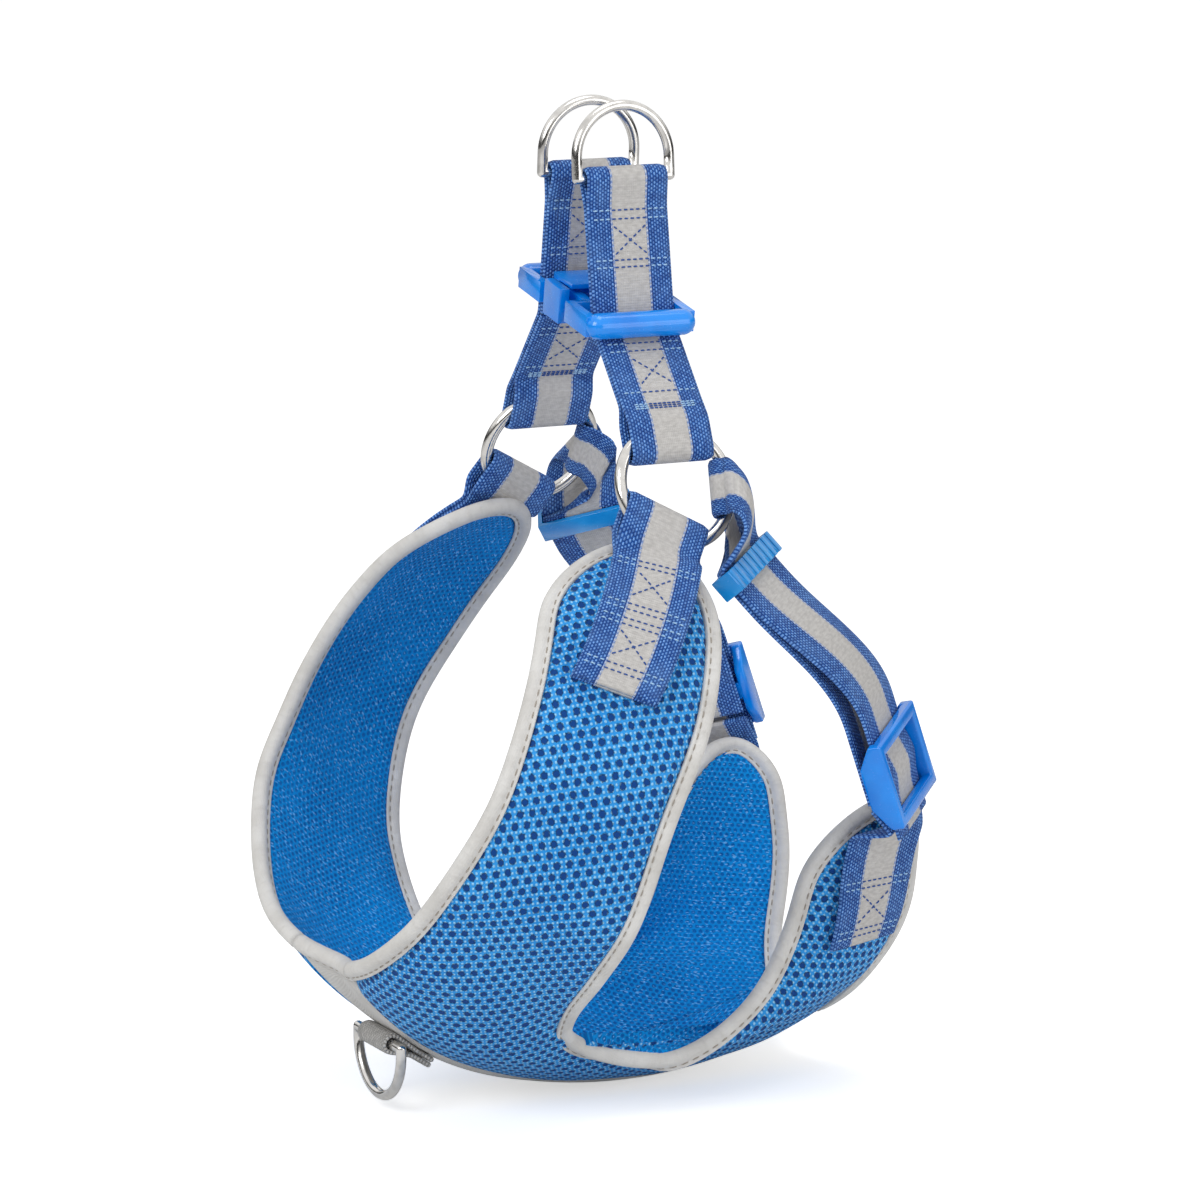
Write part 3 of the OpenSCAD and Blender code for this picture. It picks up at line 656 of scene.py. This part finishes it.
def binding_stitches(stations):
    places, side, out, gone = stations
    found = []
    for begin in np.arange(1, gone[-1] - stitch_pitch, stitch_pitch):
        ends = [[picked(part, gone, at) for part in (places, side, out)]
                for at in (begin, begin + stitch_length)]
        for face in (1, -1):
            start, end = (p + s * stitch_inset + o * stitch_lift * face for p, s, o in ends)
            found.append((start, end, unit(ends[0][2]) * face, 0))
    return found


def bind(name, node, stations, right=False):
    """A length of tape in place of its node, and the thread that sews it."""
    points, faces, uv = tube(stations, binding_round)
    piece = build(name, points, faces, [satin.material], uv, right=right)
    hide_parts(node)
    stitches = sew(node + "_stitches", binding_stitches(stations), binding_thread, right)
    return piece, stitches


edge_places = edge_of_half()
edge_points = np.array([skin(*p) for p in edge_places])
edge_out = np.array([skin_out(*p) for p in edge_places])
edge_stations = tape(edge_points + edge_out * binding_lift, edge_out, binding_width / 2, 7)
for side in ("left", "right"):
    for piece in bind(side + "_edge_binding", side + "_binding", edge_stations, side == "right"):
        bend_with(piece)


def centred(limb, s, share, lift):
    p = skin(limb, s, abs(share)) + lift * skin_out(limb, s, abs(share))
    return across_belly(p) if share < 0 else p


for limb, node in ((arm, "neck_binding"), (wing, "belly_binding")):
    front = -1 if limb == arm else 1
    end = strip_share(limb, front)
    line, out = [], []
    for k in range(-10, 11):
        share = end * k / 10
        s = front * (1 - binding_width / limb_width(limb, abs(share)))
        line.append(centred(limb, s, share, binding_lift))
        out.append(centred(limb, s, share, 1) - centred(limb, s, share, 0))
    if limb == wing:
        line, out = line[::-1], out[::-1]
    for piece in bind(node + "_tape", node, tape(np.array(line), np.array(out))):
        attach(piece, "chest")

# Middle strip: a band of light grey woven cloth over foam, sewn down the chest from the neck
# to the belly, with the same knitted lining behind it.
grey_cloth = Finish("grey chest cloth")
u, v = grey_cloth.across_and_along()
weft = ((u * 5.0).wave() * (v * 5.0).wave()) * 0.5 + 0.5
soil = grey_cloth.cloud(grey_cloth.place(), 0.07, 4.0)
# The raised weave is painted lighter than its hollows, as painted shade of the weave, and the soil
# adds random tone.
grey_cloth.close(Base_Color=grey_cloth.mix(weft * 0.5 + soil.rise(0.3, 0.7) * 0.5,
                                           (0.50, 0.49, 0.47), (0.66, 0.65, 0.63)),
                 Roughness=soil * 0.1 + 0.75, Normal=grey_cloth.relief(weft, 0.2),
                 Specular_IOR_Level=0.25, Sheen_Weight=0.15, Sheen_Roughness=0.5)
strip_columns, strip_lines = 14, 22
strip_rows = ([(arm, 2 * r / strip_lines - 1) for r in range(strip_lines + 1)]
              + [(wing, 2 * r / strip_lines - 1) for r in range(1, strip_lines + 1)])
strip_across = [2 * j / strip_columns - 1 for j in range(strip_columns + 1)]


def strip_point(row, across, lift):
    limb, s = row
    share = across * strip_share(limb, s)
    hold = 2 * (binding_width - 0.4) / limb_width(limb, abs(share))
    s = max(s, hold - 1) if limb == arm else min(s, 1 - hold)
    return centred(limb, s, share, lift)


strip_outer, strip_inner, strip_uv = [], [], []
for r, row in enumerate(strip_rows):
    end_puff = min(1.0, r / 2, (len(strip_rows) - 1 - r) / 2)
    for across in strip_across:
        side_puff = min(1.0, (1 - abs(across)) * 5)
        puff = end_puff * (0.55 + 0.45 * side_puff)
        strip_outer.append(strip_point(row, across, 0.9 + (mesh_thick - 0.6) * puff))
        strip_inner.append(strip_point(row, across, -0.6 - (lining_thick - 0.6) * end_puff))
        strip_uv.append((across * 14, r * 4.0))
n, m = strip_columns + 1, len(strip_rows)
count = n * m
top = [((i + 1) * n + j, (i + 1) * n + j + 1, i * n + j + 1, i * n + j)
       for i in range(m - 1) for j in range(n - 1)]
ring_line = (list(range(n)) + [i * n + n - 1 for i in range(1, m)]
             + [(m - 1) * n + j for j in range(n - 2, -1, -1)]
             + [i * n for i in range(m - 2, 0, -1)])
walls = [(ring_line[k - 1], ring_line[k], ring_line[k] + count, ring_line[k - 1] + count)
         for k in range(len(ring_line))]
strip = build("middle_strip", strip_outer + strip_inner,
              top + [tuple(k + count for k in reversed(q)) for q in top] + walls,
              [grey_cloth.material, inside_knit.material], strip_uv + strip_uv,
              [0] * len(top) + [1] * len(top) + [0] * len(walls))
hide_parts("centre_strip", "centre_pad")
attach(strip, "chest")

# Webbing: 25 mm nylon, woven in two blues with a dull grey reflective band down its middle
# between pale edging threads. The tops of its floats are painted pale as highlights and the
# hollows between them painted dark as shade. Every strap is cut from it.
webbing_width, webbing_thick, webbing_columns = 25.0, 1.6, 16
stripe_half, edging = 5.2, 0.55
strap_step = 0.8


def webbing_finish(name, dark, middle, light, banded):
    finish = Finish(name)
    u, v = finish.across_and_along()
    column = u / 0.85
    odd = (column.whole() / 2).fraction() * 2
    along_yarn = v / 1.1 + odd * 0.5
    float_height = abs((column * math.pi).wave()) * abs((along_yarn * math.pi).wave())
    tone = finish.node("ShaderNodeTexWhiteNoise", {"noise_dimensions": "2D"},
                       {"Vector": finish.point(column.whole(), along_yarn.whole())})
    patch = finish.cloud(finish.place(), 0.12)
    yarns = finish.mix(tone.rise(0.15, 0.8), finish.mix(0.6, middle, dark), middle)
    # The floats' tops are mixed towards the pale colour: painted highlights.
    yarns = finish.mix((tone * 0.6 + 0.25) * float_height.rise(0.3, 0.85), yarns, light)
    # Low between the floats it is mixed towards the dark colour: painted shade in the weave's hollows.
    yarns = finish.mix((1 - float_height.rise(0.05, 0.5)) * 0.75, yarns, dark)
    yarns = finish.mix(patch.rise(0.4, 0.7) * 0.12, yarns, light)
    cloth_sheen = {"Specular_IOR_Level": 0.3, "Sheen_Weight": 0.05, "Sheen_Roughness": 0.4}
    if not banded:
        return finish.close(Base_Color=yarns, Roughness=0.62,
                            Normal=finish.relief(float_height, 0.45), **cloth_sheen)
    off = abs(u)
    on_band = 1 - off.rise(stripe_half - 0.12, stripe_half + 0.12)
    on_edging = off.rise(stripe_half - 0.1, stripe_half + 0.1) * (
        1 - off.rise(stripe_half + edging - 0.1, stripe_half + edging + 0.1))
    shadow = off.rise(stripe_half + edging, stripe_half + edging + 0.15) * (
        1 - off.rise(stripe_half + edging + 0.2, stripe_half + edging + 0.5))
    fine = (u * 11.0).wave() * 0.25 + (v * 9.0).wave() * 0.25 + 0.5
    scuff = finish.cloud(finish.point(u * 0.5, v), 1.1, 4.0)
    grey = finish.mix(scuff.rise(0.3, 0.7), (0.46, 0.445, 0.43), (0.58, 0.565, 0.545))
    grey = finish.mix(fine * 0.22, grey, (0.36, 0.35, 0.35))
    colour = finish.mix(shadow * 0.6, yarns, dark)
    colour = finish.mix(on_edging, colour, finish.mix((v * 4.2).wave() * 0.5 + 0.5,
                                                      (0.24, 0.36, 0.68), (0.62, 0.68, 0.80)))
    colour = finish.mix(on_band, colour, grey)
    height = float_height * (1 - on_band) + on_band * (fine * 0.12 + 0.55)
    return finish.close(Base_Color=colour, Roughness=on_band * -0.12 + 0.62,
                        Normal=finish.relief(height, 0.45), **cloth_sheen)


blue_webbing = webbing_finish("blue webbing", (0.004, 0.04, 0.24), (0.014, 0.145, 0.56),
                              (0.27, 0.52, 0.98), True)


class Strap:
    """A length of webbing laid along a line, with its own places for stitching."""

    def __init__(self, points, sides, widths=None, cups=None, passes=3):
        widths = [webbing_width] * len(points) if widths is None else widths
        cups = [0.0] * len(points) if cups is None else cups
        rows = np.hstack((np.array(points, float), np.array(sides, float),
                          np.array(widths, float)[:, None], np.array(cups, float)[:, None]))
        rows = smoothed(evenly(rows, rows[:, :3], strap_step), passes)
        self.places = rows[:, :3]
        self.side = units(rows[:, 3:6])
        self.width, self.cup = rows[:, 6], rows[:, 7]
        self.out = units(np.cross(self.side, np.gradient(self.places, axis=0)))
        self.gone = run_along(self.places)

    def at(self, across, distance, lift):
        """A point and the way out, across and along the strap in millimetres."""
        p, side, out = (picked(part, self.gone, distance)
                        for part in (self.places, self.side, self.out))
        width, cup = (np.interp(distance, self.gone, part) for part in (self.width, self.cup))
        share = across / (webbing_width / 2)
        rise = cup * (1 - share * share) + lift
        return p + side * share * width / 2 + out * rise, unit(out)

    def cloth(self, name, finish, right=False):
        shares = [2 * j / webbing_columns - 1 for j in range(webbing_columns + 1)]
        section = ([(a, 1) for a in shares] + [(a, -1) for a in reversed(shares)])
        points, uv = [], []
        for k, gone in enumerate(self.gone):
            for a, face in section:
                half = webbing_thick / 2 * (1 - 0.55 * max(0, (abs(a) - 0.9) / 0.1) ** 2)
                rise = self.cup[k] * (1 - a * a) + face * half
                points.append(self.places[k] + self.side[k] * a * self.width[k] / 2
                              + self.out[k] * rise)
                uv.append((a * webbing_width / 2, gone))
        faces = [tuple(reversed(f)) for f in sleeve(len(self.gone), len(section))]
        return build(name, points, faces, [finish], uv, right=right)

    def run_of_stitches(self, a, b, pitch=1.9, length=1.35, lift=0.82):
        """Stitches in a straight row from a to b, each (across, along)."""
        a, b = np.array(a, float), np.array(b, float)
        way = (b - a) / np.linalg.norm(b - a)
        found = []
        for gone in np.arange(0, np.linalg.norm(b - a) - length, pitch):
            p, q = a + way * gone, a + way * (gone + length)
            start, out = self.at(p[0], p[1], lift)
            end, _ = self.at(q[0], q[1], lift)
            on_band = abs(p[0] + q[0]) / 2 < stripe_half
            found.append((start, end, out, int(on_band)))
        return found

    def row(self, distance, half=11.2, pitch=1.9):
        return self.run_of_stitches((-half, distance), (half, distance), pitch)

    def rows(self, *distances):
        return [stitch for distance in distances for stitch in self.row(distance)]

    def cross(self, low, high, half=5.0):
        """The sewn cross that carries a strap's load, on its grey band."""
        return (self.run_of_stitches((-half, low), (half, high))
                + self.run_of_stitches((half, low), (-half, high)))

    def tack(self, distance):
        """A bar tack: short dense stitches that lock the end of the sewing."""
        return [stitch for extra in (0, 0.7, 1.4)
                for stitch in self.row(distance + extra, 9.5, 1.45)]


strap_threads = [spun_thread("light blue thread", (0.26, 0.54, 0.92), (0.60, 0.82, 1.0)),
                 spun_thread("dark blue thread", (0.015, 0.05, 0.26), (0.07, 0.17, 0.50))]


def lay(strap, name, nodes, stitches=()):
    """The strap on each side, in place of its nodes, and the thread that sews it: dark where
    it crosses the pale middle band and light on the blue."""
    for side in ("left", "right"):
        piece = strap.cloth(f"{side}_{name}_webbing", blue_webbing, side == "right")
        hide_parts(*(f"{side}_{node}" for node in nodes))
        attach(piece, side + "_side")
        if stitches:
            sewn = sew(f"{side}_{name}_stitches", stitches, strap_threads, side == "right",
                       thick=1.05)
            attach(sewn, side + "_side")


# Side rings: welded rings of nickel-plated steel wire. The shoulder tab, the girth strap and
# the back strap all fold round each one, so it leans outwards with them.
strap_y = -1.2
ring_place = np.array((42.6, strap_y, 38.6))
ring_lean = math.radians(22)
ring_wire, ring_radius, ring_gap = 3.5, 16.8, 0.3
nickel = Finish("nickel plate")
dark_reflection_patches = nickel.cloud(nickel.place(), 0.35, 4.0)
scratch = nickel.cloud(nickel.node("ShaderNodeVectorMath", {"operation": "MULTIPLY"},
                                   {0: nickel.place(), 1: (1.0, 6.0, 1.0)}), 0.9, 3.0)
# The plate's colour is darkened in soft random patches: painted dark reflections.
nickel.close(Base_Color=nickel.mix(dark_reflection_patches.rise(0.35, 0.75), (0.74, 0.72, 0.69),
                                   (0.58, 0.565, 0.54)),
             Metallic=1.0, Roughness=scratch.rise(0.3, 0.8) * 0.10 + 0.07,
             Normal=nickel.relief(scratch, 0.02))


def dress(node, finish, edge=0.0):
    """Gives a hard part its finish, and softens its moulded edges by edge millimetres."""
    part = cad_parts[node]
    part.data.materials.clear()
    part.data.materials.append(finish)
    part.data.polygons.foreach_set("use_smooth", [True] * len(part.data.polygons))
    weld = part.modifiers.new("weld", "WELD")
    weld.merge_threshold = 0.00001
    if edge:
        soften = part.modifiers.new("soften", "BEVEL")
        soften.width = edge / 1000
        soften.segments = 3
        soften.limit_method = "ANGLE"
        soften.angle_limit = math.radians(35)
        soften.harden_normals = True
    else:
        part.modifiers.new("even", "WEIGHTED_NORMAL").keep_sharp = True
    return part


for side in ("left", "right"):
    dress(side + "_side_ring", nickel.material)


def from_ring(v):
    c, s = math.cos(ring_lean), math.sin(ring_lean)
    return ring_place + np.array((v[0] * c - v[2] * s, v[1], v[0] * s + v[2] * c))


def ring_side(angle):
    return from_ring((0, -math.sin(angle), math.cos(angle))) - ring_place


fold_radius = ring_wire / 2 + ring_gap + webbing_thick / 2
wire_clear = ring_radius + ring_wire / 2 + ring_gap


def beside_wire(angle, x, d):
    return from_ring((x, d * math.cos(angle), d * math.sin(angle)))


def ring_fold(angle, width):
    """Middle of a strap's turn round the wire, from the ring's outer side to its inner."""
    half = width / 2
    reach = (math.sqrt(ring_radius ** 2 - half ** 2)
             - ring_wire / 2 / math.cos(math.asin(half / ring_radius)) + ring_wire / 2)
    return [beside_wire(angle, fold_radius * math.sin(a), reach - fold_radius * math.cos(a))
            for a in np.radians(np.arange(90, -91, -15))]


# Shoulder tabs: webbing doubled through the side ring and sewn down on the arm's outer face
# with two boxed crosses between double rows. On the real tab the cut end is folded under at
# the foot; here both layers simply end there.
tab_low, tab_high = np.array((-0.13, 0.785)), np.array((0.25, 0.955))
tab_angle = math.radians(240)
sewn_gap, layer_gap = 0.15, 0.1
on_mesh = mesh_thick + webbing_thick / 2 + sewn_gap
over_edge = (mesh_thick - lining_thick + binding_thick + webbing_thick) / 2 + sewn_gap


def sewn_layer(limb, low, high, steps, extra, towards):
    """Points and sides of a layer sewn on a limb, rising to pass over the tip's binding."""
    line, sides = [], []
    for k in range(steps + 1):
        s, t = low + (high - low) * k / steps
        out = skin_out(limb, s, t)
        lift = on_mesh + (over_edge - on_mesh) * math.sin(math.pi / 2 * k / steps) + extra
        line.append(skin(limb, s, t) + lift * out)
        sides.append(unit(towards - np.dot(towards, out) * out))
    return line, sides


towards = ring_side(tab_angle)
tab_turn = ring_fold(tab_angle, webbing_width)
top_line, tab_flat = sewn_layer(arm, tab_low, tab_high, 8, webbing_thick + layer_gap, towards)
low_line = sewn_layer(arm, tab_low, tab_high, 8, 0, towards)[0]
tab_line = (top_line + [beside_wire(tab_angle, fold_radius, wire_clear)] + tab_turn
            + [beside_wire(tab_angle, -fold_radius, wire_clear)] + low_line[::-1])
tab_sides = tab_flat + [towards] * (len(tab_turn) + 2) + tab_flat[::-1]
tab = Strap(tab_line, tab_sides)
lay(tab, "shoulder", ("shoulder_tab", "shoulder_stripe"),
    tab.rows(5, 7, 19.6, 21.6, 24.5, 26.5, 40.5, 42.5) + tab.cross(9.5, 17.5)
    + tab.cross(29.5, 38.5))

# Girth straps: one long webbing on each side, looped round the side ring through a keeper
# and down round the slider's bar. Near the ring it is pinched, and bulges as it turns.
girth_angle, girth_fold_width = math.radians(-6), 16
tail_drop, slider_length = 5.6, 26


def lie(place, side, up):
    """Where hardware holds the strap straight: its place, width, way up and way out."""
    up = unit(np.array(up, float))
    side = np.array(side, float)
    side = unit(side - np.dot(side, up) * up)
    return np.array(place, float), side, up, np.cross(side, up)


at_keeper = lie((50, 18, 16.2), (-0.59, 0.76, 0.27), (-0.375, -0.549, 0.747))
at_slider = lie((58, 61.2, -43.6), (-0.65, 0.72, 0.25), (0, -0.328, 0.945))
behind = webbing_thick + layer_gap
below_slider, above_slider = slider_length / 2 + 4.5, slider_length / 2 + 5
bow_pull = (46, 50)


def station(p, side, width, cup=0.0):
    return np.array((*p, *side, width, cup))


def held(where, up, drop, cup=0.0):
    place, side, way_up, out = where
    return station(place + up * way_up - drop * out, side, webbing_width, cup)


def bowed(low, high, cup):
    """The strap's bow from the slider's end at low to the keeper's end at high."""
    line = []
    for u in np.linspace(0, 1, 17):
        e = u * u * (3 - 2 * u)
        mid = (1 - e) * low + e * high
        mid[:3] += (u * (1 - u) ** 2 * bow_pull[0] * at_slider[2]
                    - u * u * (1 - u) * bow_pull[1] * at_keeper[2])
        mid[7] = cup * math.sin(math.pi * u)
        line.append(mid)
    return line


def arch_of(stations, steps):
    start = 2 * stations[0] - stations[1]
    return [spline(stations, k / steps * (len(stations) - 1), start)
            for k in range(steps + 1)]


girth_turn = [station(p, ring_side(girth_angle), girth_fold_width)
              for p in ring_fold(girth_angle, girth_fold_width)]
arch_out = [held(at_keeper, 4.2, 0), station((52.5, 16.3, 29.6), (-0.8, 0.53, 0.27), 22, 0.8),
            station((51.1, 15.5, 35.9), (-0.78, 0.45, 0.43), 20, 1.2),
            station((47.5, 13.4, 39), (-0.62, 0.3, 0.72), 18, 0.8), girth_turn[0]]
arch_in = [girth_turn[-1], station((38.6, 17.5, 30.9), (-0.42, 0.2, 0.88), 19),
           station((42.8, 15.8, 25.6), (-0.55, 0.45, 0.7), 22), held(at_keeper, 4.2, behind)]
over_bar = [held(at_slider, z, -1.5 * math.exp(-(z / 4.5) ** 2), 0.2)
            for z in (-below_slider, -12, -9, -6, -3, 0, 3, 6, 9, 13)]
outer_run = over_bar + bowed(held(at_slider, above_slider, 0), held(at_keeper, -8, 0), 1.2)
inner_run = (bowed(held(at_slider, above_slider, tail_drop), held(at_keeper, -8, behind),
                   0)[::-1] + [held(at_slider, -6, tail_drop)])
girth_line = np.array(outer_run + arch_of(arch_out, 24)[:-1] + girth_turn
                      + arch_of(arch_in, 16)[1:] + inner_run)
girth = Strap(girth_line[:, :3], girth_line[:, 3:6], girth_line[:, 6], girth_line[:, 7],
              passes=2)
lay(girth, "girth", ("girth_strap", "girth_stripe"))

# Wing tabs: short webbing sewn flat on the wing's outer face with a boxed cross. It comes
# out from behind the slider, which it carries.
wing_low, wing_high = np.array((0.15, 0.67)), np.array((0.05, 0.94))
wing_line, wing_sides = sewn_layer(wing, wing_low, wing_high, 5, 0, np.array((0, 1.0, 0)))
reach_up = [held(at_slider, -16, behind), held(at_slider, -8, 5.5)]
wing_tab = Strap(wing_line + [p[:3] for p in reach_up], wing_sides + [p[3:6] for p in reach_up])
lay(wing_tab, "wing", ("wing_tab",),
    wing_tab.rows(3, 5, 17.5, 19.5) + wing_tab.cross(7, 15.5))

# Back straps: one doubled band on each side, from the side ring past the buckle's bar to the
# leash ring. Its ends lap inside, and rows and boxed crosses tie both layers together.
leash_bar_wire, leash_gap = 3.0, 0.35
bar_fold = leash_bar_wire / 2 + leash_gap + webbing_thick / 2
half_layers = (webbing_thick + layer_gap) / 2
strap_mid, strap_high = np.array((17, 81)), np.array((11, 122))


def flat(p):
    return np.array((p[0], strap_y, p[1]))


def right_of(v):
    return np.array((v[1], -v[0]))


eye_end = from_ring((0, 0, 24))[[0, 2]]
low_way, high_way = unit(strap_mid - eye_end), unit(strap_high - strap_mid)
mid_out = unit(right_of(low_way) + right_of(high_way))
bar_turn = [flat(strap_high + bar_fold * (math.cos(a) * right_of(high_way)
                                          + math.sin(a) * high_way))
            for a in np.radians(np.arange(180, -1, -15))]
back_turn = ring_fold(math.pi / 2, webbing_width)
back_line = ([flat(strap_mid + 0.3 * high_way - half_layers * mid_out),
              flat(strap_high - 8 * high_way - half_layers * right_of(high_way))] + bar_turn
             + [flat(strap_high - 8 * high_way + half_layers * right_of(high_way)),
                flat(strap_mid + half_layers * mid_out),
                flat(eye_end + half_layers * right_of(low_way)),
                beside_wire(math.pi / 2, fold_radius, wire_clear)] + back_turn
             + [beside_wire(math.pi / 2, -fold_radius, wire_clear),
                flat(eye_end - half_layers * right_of(low_way)),
                flat(strap_mid - 0.3 * low_way - half_layers * mid_out)])
back = Strap(back_line, [(0, -1.0, 0)] * len(back_line))
over_bar_at = back.gone[int(np.argmax(back.places[:, 2]))]
mid_at = back.gone[int(np.argmin(np.abs(back.places[:, 2] - strap_mid[1])
                                 + 100 * (back.gone < over_bar_at)))]
ring_turn_at = back.gone[int(np.argmin(back.places[:, 2]))]


def tied(bar_way, bar, low_way, buckle):
    """The sewing on one face: below the leash ring's bar, and below the buckle."""
    return (back.rows(*(bar + bar_way * d for d in (12.5, 15, 26.5, 28.5)))
            + back.cross(bar + bar_way * 17, bar + bar_way * 25)
            + back.rows(*(buckle + low_way * d for d in (6, 8.5, 22)))
            + back.cross(buckle + low_way * 11, buckle + low_way * 19.5)
            + back.tack(buckle + low_way * 26))


lay(back, "back", ("back_strap", "back_stripe"),
    tied(1, over_bar_at, 1, mid_at) + tied(-1, over_bar_at, -1, 2 * ring_turn_at - mid_at))

# Leash rings: nickel-plated D-rings held by their bars in the back straps' upper folds.
for side in ("left", "right"):
    dress(side + "_leash_ring", nickel.material)

# Chest ring and its tab: a smaller hang of webbing in plain light grey, doubled round the
# D-ring's bar and sewn to the middle strip.
# Its floats carry the same painted highlights, and the hollows between them the same painted shade, as
# the blue webbing's.
grey_webbing = webbing_finish("grey webbing", (0.30, 0.29, 0.28), (0.52, 0.51, 0.49),
                              (0.72, 0.71, 0.69), False)
chest_s, chest_tab_length, chest_tab_width = -0.25, 13, 18
centre_point, centre_out = skin(arm, chest_s, 0.0), skin_out(arm, chest_s, 0.0)
centre_point[0], centre_out[0] = 0, 0
centre_out = unit(centre_out)
centre_back = np.cross(centre_out, (-1.0, 0, 0))
chest_bar = centre_point + (mesh_thick + 0.1 + webbing_thick / 2 + bar_fold) * centre_out


def on_strip(back, lift):
    """A point on the strip's middle line, back from the ring's bar, lifted off its face."""
    s = chest_s + 2 * back / limb_width(arm, 0.0)
    return (skin(arm, s, 0.0) + lift * skin_out(arm, s, 0.0)) * (0, 1, 1)


lower_layer = mesh_thick + 0.1 + webbing_thick / 2
upper_layer = lower_layer + webbing_thick + layer_gap
chest_line = ([on_strip(chest_tab_length, lower_layer), on_strip(7, lower_layer)]
              + [chest_bar - bar_fold * (math.cos(a) * centre_out + math.sin(a) * centre_back)
                 for a in np.radians(np.arange(0, 181, 15))]
              + [on_strip(7, upper_layer), on_strip(chest_tab_length, upper_layer)])
chest_strap = Strap(chest_line, [(1.0, 0, 0)] * len(chest_line),
                    [chest_tab_width] * len(chest_line))
piece = chest_strap.cloth("chest_tab_webbing", grey_webbing)
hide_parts("chest_tab")
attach(piece, "chest")
end = chest_strap.gone[-1]
sewn = sew("chest_tab_stitches",
           chest_strap.row(end - 2.5, 9) + chest_strap.row(end - 6, 9), binding_thread * 2)
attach(sewn, "chest")
dress("chest_ring", nickel.material)

# Keepers, sliders and buckle: moulded in bright blue acetal, glossy, with softened edges and
# a faint ripple from the mould. The small ribbed keepers are a paler batch.
def acetal(name, deep, pale):
    finish = Finish(name)
    ripple = finish.cloud(finish.place(), 0.10, 2.0)
    scuffs = finish.cloud(finish.place(), 1.4, 4.0)
    return finish.close(Base_Color=finish.mix(ripple.rise(0.35, 0.7), deep, pale),
                        Roughness=scuffs.rise(0.45, 0.8) * 0.16 + 0.17,
                        Normal=finish.relief(ripple * 2.0 + scuffs * 0.1, 0.12),
                        Coat_Weight=0.4, Coat_Roughness=0.12)


blue_acetal = acetal("blue acetal", (0.0, 0.21, 0.78), (0.0, 0.27, 0.90))
pale_acetal = acetal("paler blue acetal", (0.01, 0.27, 0.70), (0.03, 0.36, 0.82))
for side in ("left", "right"):
    dress(side + "_keeper", pale_acetal, 0.25)
    dress(side + "_slider", blue_acetal, 0.8)
for node in ("buckle_fork", "buckle_socket", "front_prong", "rear_prong"):
    dress(node, blue_acetal, 0.6)
